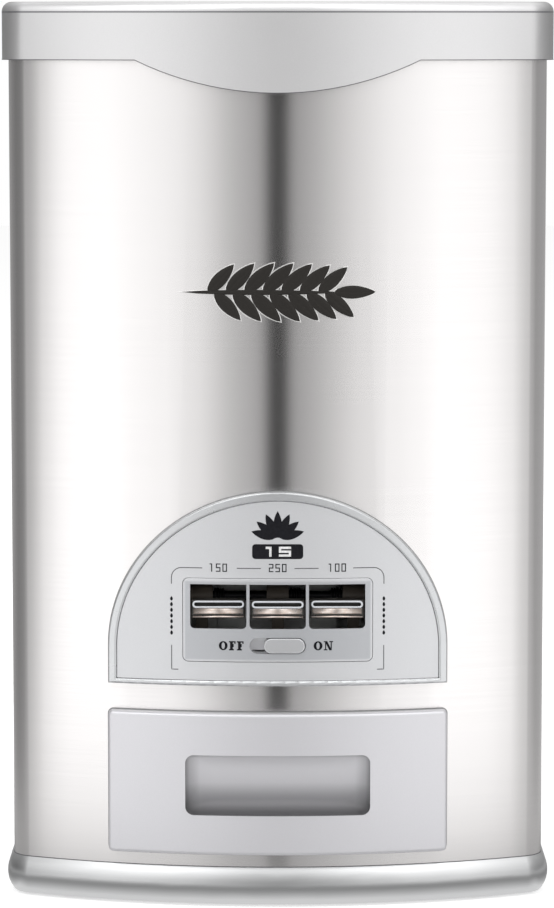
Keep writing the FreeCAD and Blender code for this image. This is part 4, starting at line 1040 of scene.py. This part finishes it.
class DISPENSER_OT_button_trim(bpy.types.Operator):
    """Lip, plated strip and bead on the front of each button"""
    bl_idname = "dispenser.button_trim"
    bl_label = "Trim the buttons"

    def execute(self, context):
        lip = skin_material("lip grey", settings("plastic").lip, 0.3, metallic=0.3)
        chrome = worn_chrome("button chrome", settings("steel").chrome)
        wire, lip_inset, lip_height, lip_drop, lip_out = 0.5 * MM, 0.9 * MM, 2.8 * MM, 0.25 * MM, 0.2 * MM
        sunk = 0.15 * MM
        for side in SIDES:
            low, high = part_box("lever_cap_" + side)
            lip_top = high.z - lip_drop - wire
            ring = stadium_points(low.x + lip_inset, high.x - lip_inset, lip_top - lip_height, lip_top)
            guide = guide_mesh("lip guide", [(x, low.y - lip_out, z) for x, z in ring],
                               [(index, (index + 1) % len(ring)) for index in range(len(ring))])
            piece = run_tree("lever_lip_" + side, guide, loop_tree(lip), {"Wire radius": wire})
            finish_piece(piece, "lever_" + side)
            for part, inset, start, height, depth in (("strip", 1.1, 2.2, 2.9, 0.5),
                                                      ("bead", 0.7, 0.35, 1.0, 0.6)):
                bottom = low.z + start * MM
                mesh = strip_mesh("lever_" + part + "_" + side, low.x + inset * MM, high.x - inset * MM,
                                  low.y + sunk, bottom, bottom + height * MM, depth * MM, chrome)
                finish_piece(new_object(mesh.name, mesh), "lever_" + side)
        return {"FINISHED"}


CORNER_STEPS = 8


def rounded_outline(half_x, half_z, radius):
    """Points round a rectangle with rounded corners about the origin, the same number for every size."""
    points = []
    for sign_x, sign_z, start in ((1, -1, -90), (1, 1, 0), (-1, 1, 90), (-1, -1, 180)):
        for step in range(CORNER_STEPS + 1):
            angle = math.radians(start + 90.0 * step / CORNER_STEPS)
            points.append((sign_x * (half_x - radius) + radius * math.cos(angle),
                           sign_z * (half_z - radius) + radius * math.sin(angle)))
    return points


def subdivided(points):
    """The points of a rounded outline with more of them along its level sides than along its upright ones."""
    level_parts, upright_parts = 24, 6
    made = []
    for index, (x, z) in enumerate(points):
        next_x, next_z = points[(index + 1) % len(points)]
        made.append((x, z))
        corner, step = divmod(index, CORNER_STEPS + 1)
        if step == CORNER_STEPS:
            parts = level_parts if corner in (1, 3) else upright_parts
            made += [(x + (next_x - x) * part / parts, z + (next_z - z) * part / parts)
                     for part in range(1, parts)]
    return made


def pocket_ring(bm, grip, inset):
    """One ring of the drawer's grip pocket, at a distance in from its edge."""
    lip, proud = 0.5 * MM, FRONT - drawer_low.y
    middle = (grip.low + grip.high) / 2
    half_z = (grip.high - grip.low) / 2
    half_x = grip.half_width - inset
    radius = min(grip.corner + 0.6 * inset, 0.96 * (half_z - inset))
    round_in = math.sqrt(max(0.0, 1 - (1 - min(inset / grip.round, 1.0)) ** 2))
    ring = []
    for x, z in subdivided(rounded_outline(half_x, half_z - inset, radius)):
        down = (half_z - z) / (2 * half_z)
        depth = grip.depth_top + (grip.depth_low - grip.depth_top) * down ** 1.3
        rim = bow_y(x, proud)
        y = rim + lip + (depth - lip + bow_y(0.0, proud) - rim) * round_in
        ring.append(bm.verts.new((x, y, middle + z)))
    return ring


class DISPENSER_OT_grip_pocket(bpy.types.Operator):
    """Smooth scoop that lines the grip of the drawer"""
    bl_idname = "dispenser.grip_pocket"
    bl_label = "Line the drawer grip"

    def execute(self, context):
        grip = settings("grip")
        bm = bmesh.new()
        rings = [pocket_ring(bm, grip, inset * MM)
                 for inset in (0.0, 0.25, 0.6, 1.0, 1.6, 2.4, 3.4, 4.6, 6.0, 8.0, 10.0, 12.0, 14.0)]
        count = len(rings[0])
        for first, second in zip(rings, rings[1:]):
            for index in range(count):
                after = (index + 1) % count
                bm.faces.new((first[index], first[after], second[after], second[index]))
        bm.faces.new(rings[-1])
        for face in bm.faces:
            face.smooth = True
        bmesh.ops.recalc_face_normals(bm, faces=bm.faces)
        mesh = mesh_of("grip_pocket", bm, pocket_material("pocket silver", settings("plastic").drawer, grip))
        if mesh.polygons[-1].normal.y > 0:
            mesh.flip_normals()
        thick = new_object("grip_pocket", mesh)
        wall = thick.modifiers.new("wall", "SOLIDIFY")
        wall.thickness = 0.4 * MM
        wall.offset = -1.0
        finish_piece(thick, "drawer")
        return {"FINISHED"}


# ---------------------------------------------------------------- operators: printed marks
SEGMENTS = {"0": "abcdef", "2": "abged", "5": "afgcd"}
DIGIT_BREADTH = 0.55
DIGIT_GAP = 0.24


def digit_bars(text, x, z, height, stroke, breadth=DIGIT_BREADTH):
    """Outlines of seven-segment digits, from the lower left corner."""
    outlines = []
    width = breadth * height
    middle = height / 2
    places = {"a": (0, height - stroke, width, height), "d": (0, 0, width, stroke),
              "g": (0, middle - stroke / 2, width, middle + stroke / 2),
              "b": (width - stroke, middle, width, height), "c": (width - stroke, 0, width, middle),
              "e": (0, 0, stroke, middle), "f": (0, middle, stroke, height)}
    for letter in text:
        if letter == "1":
            left = x + width / 2 - stroke / 2
            outlines += bar(left, left + stroke, z, z + height)
            outlines += bar(left - 1.5 * stroke, left, z + height - stroke, z + height)
        else:
            for name in SEGMENTS[letter]:
                x0, z0, x1, z1 = places[name]
                outlines += bar(x + x0, x + x1, z + z0, z + z1)
        x += width + DIGIT_GAP * height
    return outlines


def digits_width(text, height, breadth=DIGIT_BREADTH):
    return len(text) * breadth * height + (len(text) - 1) * DIGIT_GAP * height


class DISPENSER_OT_portion_numbers(bpy.types.Operator):
    """Numbers of the three portions"""
    bl_idname = "dispenser.portion_numbers"
    bl_label = "Print the numbers"

    def execute(self, context):
        marks = settings("marks")
        ink = ink_material("ink", marks.ink)
        low = surround_high.z + 3.4 * MM
        for side, text, middle in zip(SIDES, ("150", "250", "100"), CAP_MIDDLES):
            left = middle - digits_width(text, marks.digit_height) / 2
            film("number_" + side, digit_bars(text, left, low, marks.digit_height, 0.5 * MM),
                 FACE_PROUD + marks.proud, 2 * marks.proud, ink)
        return {"FINISHED"}


def letter_o(x, z, height):
    """A bold O as a ring of short pieces."""
    steps, thin, thick, width = 28, 0.14 * height, 0.30 * height, 0.95 * height
    outlines = []
    for step in range(steps):
        ring = []
        for turn, inner in ((step, 0), (step + 1, 0), (step + 1, 1), (step, 1)):
            angle = 2 * math.pi * turn / steps
            ring.append((x + width / 2 + (width / 2 - thick * inner) * math.cos(angle),
                         z + height / 2 + (height / 2 - thin * inner) * math.sin(angle)))
        outlines.append(ring)
    return outlines, width


def letter_f(x, z, height):
    """A bold F with serifs."""
    thin, thick, width, serif = 0.14 * height, 0.30 * height, 0.72 * height, 0.12 * height
    top, right, arm = z + height, x + width, x + width * 0.72
    outlines = bar(x + serif, x + serif + thick, z, top)
    outlines += bar(x, x + thick + 2 * serif, z, z + thin)
    outlines += bar(x, right, top - thin, top)
    outlines += bar(right - thin, right, z + height * 0.72, top)
    outlines += bar(x + serif + thick, arm, z + height * 0.49, z + height * 0.49 + thin)
    outlines += bar(arm - thin, arm, z + height * 0.36, z + height * 0.7)
    return outlines, width


def letter_n(x, z, height):
    """A bold N with serifs and a leaning stroke."""
    thin, width, serif, lean = 0.85 * 0.14 * height, height, 0.14 * height, 0.26 * height
    top, right = z + height, x + width
    outlines = bar(x + serif, x + serif + thin, z, top)
    outlines += bar(right - serif - thin, right - serif, z, top)
    outlines += bar(x, x + 2 * serif + thin, z, z + thin)
    outlines += bar(x, x + serif + thin, top - thin, top)
    outlines += bar(right - 2 * serif - thin, right, top - thin, top)
    outlines.append([(right - serif - lean, z), (right - serif, z), (x + serif + lean * 0.9, top),
                     (x + serif * 0.7, top)])
    return outlines, width


LETTERS = {"O": letter_o, "F": letter_f, "N": letter_n}


def word_outlines(word, centre, middle, height):
    """Outlines of a word about its centre."""
    gap = 0.14 * height
    outlines = []
    x = 0.0
    for letter in word:
        strokes, width = LETTERS[letter](x, middle - height / 2, height)
        outlines += strokes
        x += width + gap
    shift = centre - (x - gap) / 2
    return [[(px + shift, pz) for px, pz in outline] for outline in outlines]


class DISPENSER_OT_lock_words(bpy.types.Operator):
    """OFF and ON beside the lock slot"""
    bl_idname = "dispenser.lock_words"
    bl_label = "Print the lock words"

    def execute(self, context):
        marks = settings("marks")
        ink = ink_material("word ink", marks.ink)
        middle = (knob_low.z + knob_high.z) / 2
        for word, centre in (("OFF", -23.0 * MM), ("ON", 22.6 * MM)):
            film("word_" + word.lower(), word_outlines(word, centre, middle, marks.word_height),
                 SURROUND_PROUD + marks.proud, 2 * marks.proud, ink)
        return {"FINISHED"}


class DISPENSER_OT_frame_line(bpy.types.Operator):
    """Thin line printed round the surround, broken at the numbers"""
    bl_idname = "dispenser.frame_line"
    bl_label = "Print the frame line"

    def execute(self, context):
        marks = settings("marks")
        top, low = surround_high.z + 5.2 * MM, surround_low.z - 4.2 * MM
        side, corner, turns = 52.6 * MM, 5.0 * MM, 10
        foot, gap_outer, gap_inner, middle_end = 49.3 * MM, 37.3 * MM, 20.2 * MM, 8.3 * MM
        runs = []
        for sign in (-1, 1):
            angles = [math.radians(90 * step / turns) for step in range(turns + 1)]
            bend = [(sign * (side - corner + corner * math.sin(angle)),
                     top - corner + corner * math.cos(angle)) for angle in angles]
            runs.append([(sign * gap_outer, top)] + bend + [(sign * side, surround_high.z - 3.0 * MM)])
            runs.append([(sign * gap_inner, top), (sign * middle_end, top)])
            runs.append([(sign * side, surround_low.z + 7.9 * MM), (sign * side, low), (sign * foot, low)])
        points, edges = [], []
        for run in runs:
            first = len(points)
            points += [(x, 0.0, z) for x, z in run]
            edges += [(first + index, first + index + 1) for index in range(len(run) - 1)]
        piece = run_tree("frame_line", guide_mesh("frame guide", points, edges),
                         frame_line_tree(ink_material("line ink", marks.line_ink)),
                         {"Width": marks.line, "Film": 2 * marks.proud, **bow_values(FACE_PROUD)})
        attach(piece, "cabinet")
        return {"FINISHED"}


class DISPENSER_OT_grain_marks(bpy.types.Operator):
    """Small printed grains: a column on each side of the surround and a sprig above it"""
    bl_idname = "dispenser.grain_marks"
    bl_label = "Print the grain marks"

    def execute(self, context):
        thickness = 2 * settings("marks").proud
        side, upright = 52.6 * MM, -math.pi / 2
        root = surround_high.z + 20.4 * MM
        points = []
        for sign in (-1, 1):
            for row in range(7):
                z = surround_low.z + (13.0 + 2.85 * row) * MM
                points.append(((sign * side, 0.0, z), upright, (2.3 * MM, thickness, 3.2 * MM)))
        for step in range(-3, 4):
            long = (13.4 - 0.35 * abs(step)) * MM
            points.append(((0.35 * step * MM, 0.0, root), upright + step * math.radians(25.0),
                           (long, thickness, 10.5 * MM)))
        grain = new_object("mark_grain", grain_mesh("mark_grain", 1.0, 0.42, 1.0))
        piece = run_tree("grain_marks", stalk_points("mark points", points),
                         ear_tree(ink_material("mark ink", settings("marks").ink)),
                         {"Grain": grain, **bow_values(FACE_PROUD)})
        bpy.data.objects.remove(grain)
        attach(piece, "cabinet")
        return {"FINISHED"}


class DISPENSER_OT_capacity_plate(bpy.types.Operator):
    """Dark plate with the capacity number in pale digits"""
    bl_idname = "dispenser.capacity_plate"
    bl_label = "Print the capacity plate"

    def execute(self, context):
        marks = settings("marks")
        number, height, breadth = "15", 5.0 * MM, 1.2
        half_x, half_z, corner = 12.6 * MM, 3.7 * MM, 1.6 * MM
        middle = surround_high.z + 13.6 * MM
        film("capacity_plate", rounded_bar(half_x, middle - half_z, middle + half_z, corner),
             FACE_PROUD + marks.proud, 2 * marks.proud, ink_material("plate ink", marks.ink))
        left = -digits_width(number, height, breadth) / 2
        film("capacity_number", digit_bars(number, left, middle - height / 2, height, 1.15 * MM, breadth),
             FACE_PROUD + 2 * marks.proud, marks.proud, ink_material("pale ink", marks.pale_ink))
        return {"FINISHED"}


# ---------------------------------------------------------------- operator: stage
# Light round the dispenser: degrees from straight ahead towards +X, and a level. A dark flag stands ahead,
# bright cloths hang either side of it, and it is dim beyond them.
AHEAD = ((-180, 0.60), (-124, 0.38), (-96, 0.28), (-75, 0.32), (-65, 0.38), (-56, 0.52), (-50.5, 0.68),
         (-48.5, 0.90), (-46.2, 1.22), (-44, 1.48), (-41, 1.70), (-33, 1.70), (-18.3, 1.36), (-13.8, 1.12),
         (-9.2, 0.78), (-4.7, 0.63), (-2.9, 0.60), (-1.4, 0.0), (1.4, 0.0), (2.8, 0.56), (4.3, 0.57),
         (6.6, 0.65), (11.1, 0.88), (15.7, 1.13), (22.5, 1.40), (31.8, 1.68), (41.3, 1.64), (45.5, 1.44),
         (49, 1.02), (55, 0.74), (82, 0.50), (180, 0.60))
BRIGHTEST = 1.7
SKY = ((0.0, 0.27), (0.12, 0.34), (0.50, 0.52), (0.80, 0.78), (1.0, 0.86))  # height of a direction, level
SKY_GAIN = 2.0
EVEN_LIGHT = 0.62  # level of the light that isn't mirrored
FLOOR_LEVEL = 0.84  # share of the studio light on the mirrored floor
FLOOR_LIFT = 0.42  # own light of the floor for the camera
NEAR_REACH = 0.30  # how far the painted shadow of the base reaches on the floor that the steel mirrors
NEAR_GAIN = 1.5
# Levels of the painted contact shadow on the mirrored floor next to the base, with a painted bright edge
# right at the base.
NEAR_LIGHT = ((0.0, 0.62), (0.011, 0.50), (0.022, 0.41), (0.037, 0.32), (0.066, 0.22), (0.137, 0.20),
              (0.3, 0.38), (1.0, 0.6))  # share of that reach, level
MIRROR_FOCUS = FRONT + 0.44 * BOW  # depth from which places on the floor are seen as directions
WHITE, BLACK = grey(1.0), grey(0.0)
LAMP_TARGET = (0, 0, 0.2)
LAMPS = (("key", (-1.3, -1.9, 1.9), 1.4, 26.0), ("fill", (1.5, -1.7, 1.5), 1.4, 20.0),
         ("top", (0.0, 0.2, 2.4), 2.0, 22.0))  # name, place, side in metres, power in watts
FLOOR_REACH = 6.0


def studio_group():
    """Light of the studio by direction."""
    tree, given, put = group_tree("studio light", (("Direction", VECTOR, grey(0.0)), ("Level", NUMBER, 1.0)),
                                  (("Colour", COLOUR),))
    way = axes_of(tree, given.outputs["Direction"])
    azimuth = math_node(tree, "ARCTAN2", way["X"], times(tree, way["Y"], -1.0))
    turn = plus(tree, over(tree, azimuth, 2 * math.pi), 0.5)
    across = ramp(tree, turn, [(angle / 360 + 0.5, level / BRIGHTEST) for angle, level in AHEAD])
    fill(tree, put, Colour=multiplied(tree, across, times(tree, given.outputs["Level"], BRIGHTEST)))
    return tree


def studio_world():
    """White for the camera, the studio light for glossy rays and an even light for the rest."""
    world = bpy.data.worlds.new("studio")
    bpy.context.scene.world = world
    world.use_nodes = True
    tree = world.node_tree
    direction = tree.nodes.new("ShaderNodeTexCoord").outputs["Generated"]
    rise = ramp(tree, unsigned(tree, axes_of(tree, direction)["Z"]), SKY)
    studio = use_group(tree, SHARED["studio"], Direction=direction, Level=times(tree, rise, SKY_GAIN))
    path = tree.nodes.new("ShaderNodeLightPath")
    seen = mix_colour(tree, path.outputs["Is Glossy Ray"], grey(EVEN_LIGHT), studio.outputs["Colour"])
    clear = larger(tree, path.outputs["Is Camera Ray"], path.outputs["Is Transmission Ray"])
    fill(tree, tree.nodes["Background"], Color=mix_colour(tree, clear, seen, WHITE))


def near_group():
    """How much the floor next to the base differs from the studio light, and its light there: a painted
    contact shadow with a painted bright edge at the base.
    """
    tree, given, put = group_tree("near the base", (("Place", VECTOR, grey(0.0)),),
                                  (("Near", NUMBER), ("Light", COLOUR)))
    place = axes_of(tree, given.outputs["Place"])
    x, y = place["X"], place["Y"]
    sideways = minus(tree, unsigned(tree, x), base_high.x)
    backwards = minus(tree, y, base_high.y)
    from_centre = minus(tree, y, FRONT + BOW)
    square = plus(tree, times(tree, x, x), times(tree, from_centre, from_centre))
    forwards = minus(tree, math_node(tree, "SQRT", square), FRONT + BOW - base_low.y)
    reach = over(tree, larger(tree, larger(tree, sideways, backwards), forwards), NEAR_REACH)
    fill(tree, put, Near=ramp(tree, reach, ((0.1, 1.0), (1.0, 0.0))), Light=ramp(tree, reach, NEAR_LIGHT))
    return tree


def floor_material(tint):
    """Pale floor that keeps the shadow, white for the camera and the studio light for glossy rays, with a
    painted contact shadow next to the base for glossy rays.
    """
    made, tree, shader = material("pale floor")
    darker = [level * 0.985 for level in tint]
    shade = ramp(tree, object_noise(tree, grey(40.0), 2.0), ((0.3, darker), (0.7, tint)))
    path = tree.nodes.new("ShaderNodeLightPath")
    glossy = path.outputs["Is Glossy Ray"]
    place = object_place(tree)
    from_focus = vector_node(tree, "SUBTRACT", place, 1, (0.0, MIRROR_FOCUS, 0.0))
    studio = use_group(tree, SHARED["studio"], Direction=from_focus, Level=FLOOR_LEVEL)
    near = use_group(tree, near_group(), Place=place)
    # Painted contact shadow on the floor next to the base, seen by glossy rays.
    close = multiplied(tree, near.outputs["Light"], grey(NEAR_GAIN))
    mirrored = mix_colour(tree, near.outputs["Near"], studio.outputs["Colour"], close)
    lift = mix_colour(tree, path.outputs["Is Camera Ray"], BLACK, grey(FLOOR_LIFT))
    fill(tree, shader, Base_Color=mix_colour(tree, glossy, shade, BLACK), Roughness=0.9,
         Specular_IOR_Level=0.0, Emission_Color=mix_colour(tree, glossy, lift, mirrored),
         Emission_Strength=1.0)
    return made


def area_lamp(name, place, side, power):
    """A square lamp that points at the dispenser and shows in no reflection."""
    lamp = bpy.data.lights.new(name, "AREA")
    lamp.size = side
    lamp.energy = power
    holder = new_object(name, lamp)
    holder.location = place
    holder.rotation_euler = (Vector(LAMP_TARGET) - Vector(place)).to_track_quat("-Z", "Y").to_euler()
    holder.visible_glossy = False


def set_camera(studio):
    camera = bpy.data.cameras.new("camera")
    camera.sensor_fit = "VERTICAL"
    camera.sensor_height = SENSOR
    camera.lens = studio.focal
    camera.shift_x, camera.shift_y = [shift / PICTURE_HEIGHT for shift in SHIFT_PIXELS]
    camera.clip_start = 0.05
    holder = new_object("camera", camera)
    holder.location = (0.0, FRONT - studio.distance, studio.eye)
    holder.rotation_euler = (math.radians(90.0) - studio.pitch, 0.0, 0.0)
    bpy.context.scene.camera = holder


class DISPENSER_OT_stage(bpy.types.Operator):
    """Floor, lamps, world and camera"""
    bl_idname = "dispenser.stage"
    bl_label = "Set the stage"

    def execute(self, context):
        studio = settings("studio")
        context.scene.view_settings.view_transform = "Standard"
        SHARED["studio"] = studio_group()
        studio_world()
        mesh = bpy.data.meshes.new("floor")
        corners = [(x * FLOOR_REACH, y * FLOOR_REACH, 0) for x, y in ((-1, -1), (1, -1), (1, 1), (-1, 1))]
        mesh.from_pydata(corners, [], [(0, 1, 2, 3)])
        mesh.materials.append(floor_material(studio.floor))
        floor = new_object("floor", mesh)
        for lamp in LAMPS:
            area_lamp(*lamp)
        set_camera(studio)
        return {"FINISHED"}


# ---------------------------------------------------------------- panel and registration
OPERATORS = (DISPENSER_OT_finish_body, DISPENSER_OT_finish_lid, DISPENSER_OT_finish_base,
             DISPENSER_OT_finish_panel, DISPENSER_OT_finish_drawer, DISPENSER_OT_finish_works,
             DISPENSER_OT_rim_lines, DISPENSER_OT_button_trim, DISPENSER_OT_grip_pocket,
             DISPENSER_OT_ornament, DISPENSER_OT_portion_numbers, DISPENSER_OT_lock_words,
             DISPENSER_OT_frame_line, DISPENSER_OT_grain_marks, DISPENSER_OT_capacity_plate,
             DISPENSER_OT_stage)


class DISPENSER_PT_looks(bpy.types.Panel):
    bl_idname = "DISPENSER_PT_looks"
    bl_label = "Rice dispenser"
    bl_space_type = "VIEW_3D"
    bl_region_type = "UI"
    bl_category = "Dispenser"

    def draw(self, context):
        for name, group in GROUPS:
            box = self.layout.box()
            box.label(text=name.capitalize())
            for key in group.__annotations__:
                box.prop(settings(name), key)
        for operator in OPERATORS:
            self.layout.operator(operator.bl_idname)


def register():
    for name, group in GROUPS:
        bpy.utils.register_class(group)
        setattr(bpy.types.Scene, "dispenser_" + name, PointerProperty(type=group))
    for operator in OPERATORS:
        bpy.utils.register_class(operator)
    bpy.utils.register_class(DISPENSER_PT_looks)


def unregister():
    bpy.utils.unregister_class(DISPENSER_PT_looks)
    for operator in reversed(OPERATORS):
        bpy.utils.unregister_class(operator)
    for name, group in reversed(GROUPS):
        delattr(bpy.types.Scene, "dispenser_" + name)
        bpy.utils.unregister_class(group)


def main():
    register()
    for operator in OPERATORS:
        family, action = operator.bl_idname.split(".")
        getattr(getattr(bpy.ops, family), action)()


if __name__ == "__main__":
    main()
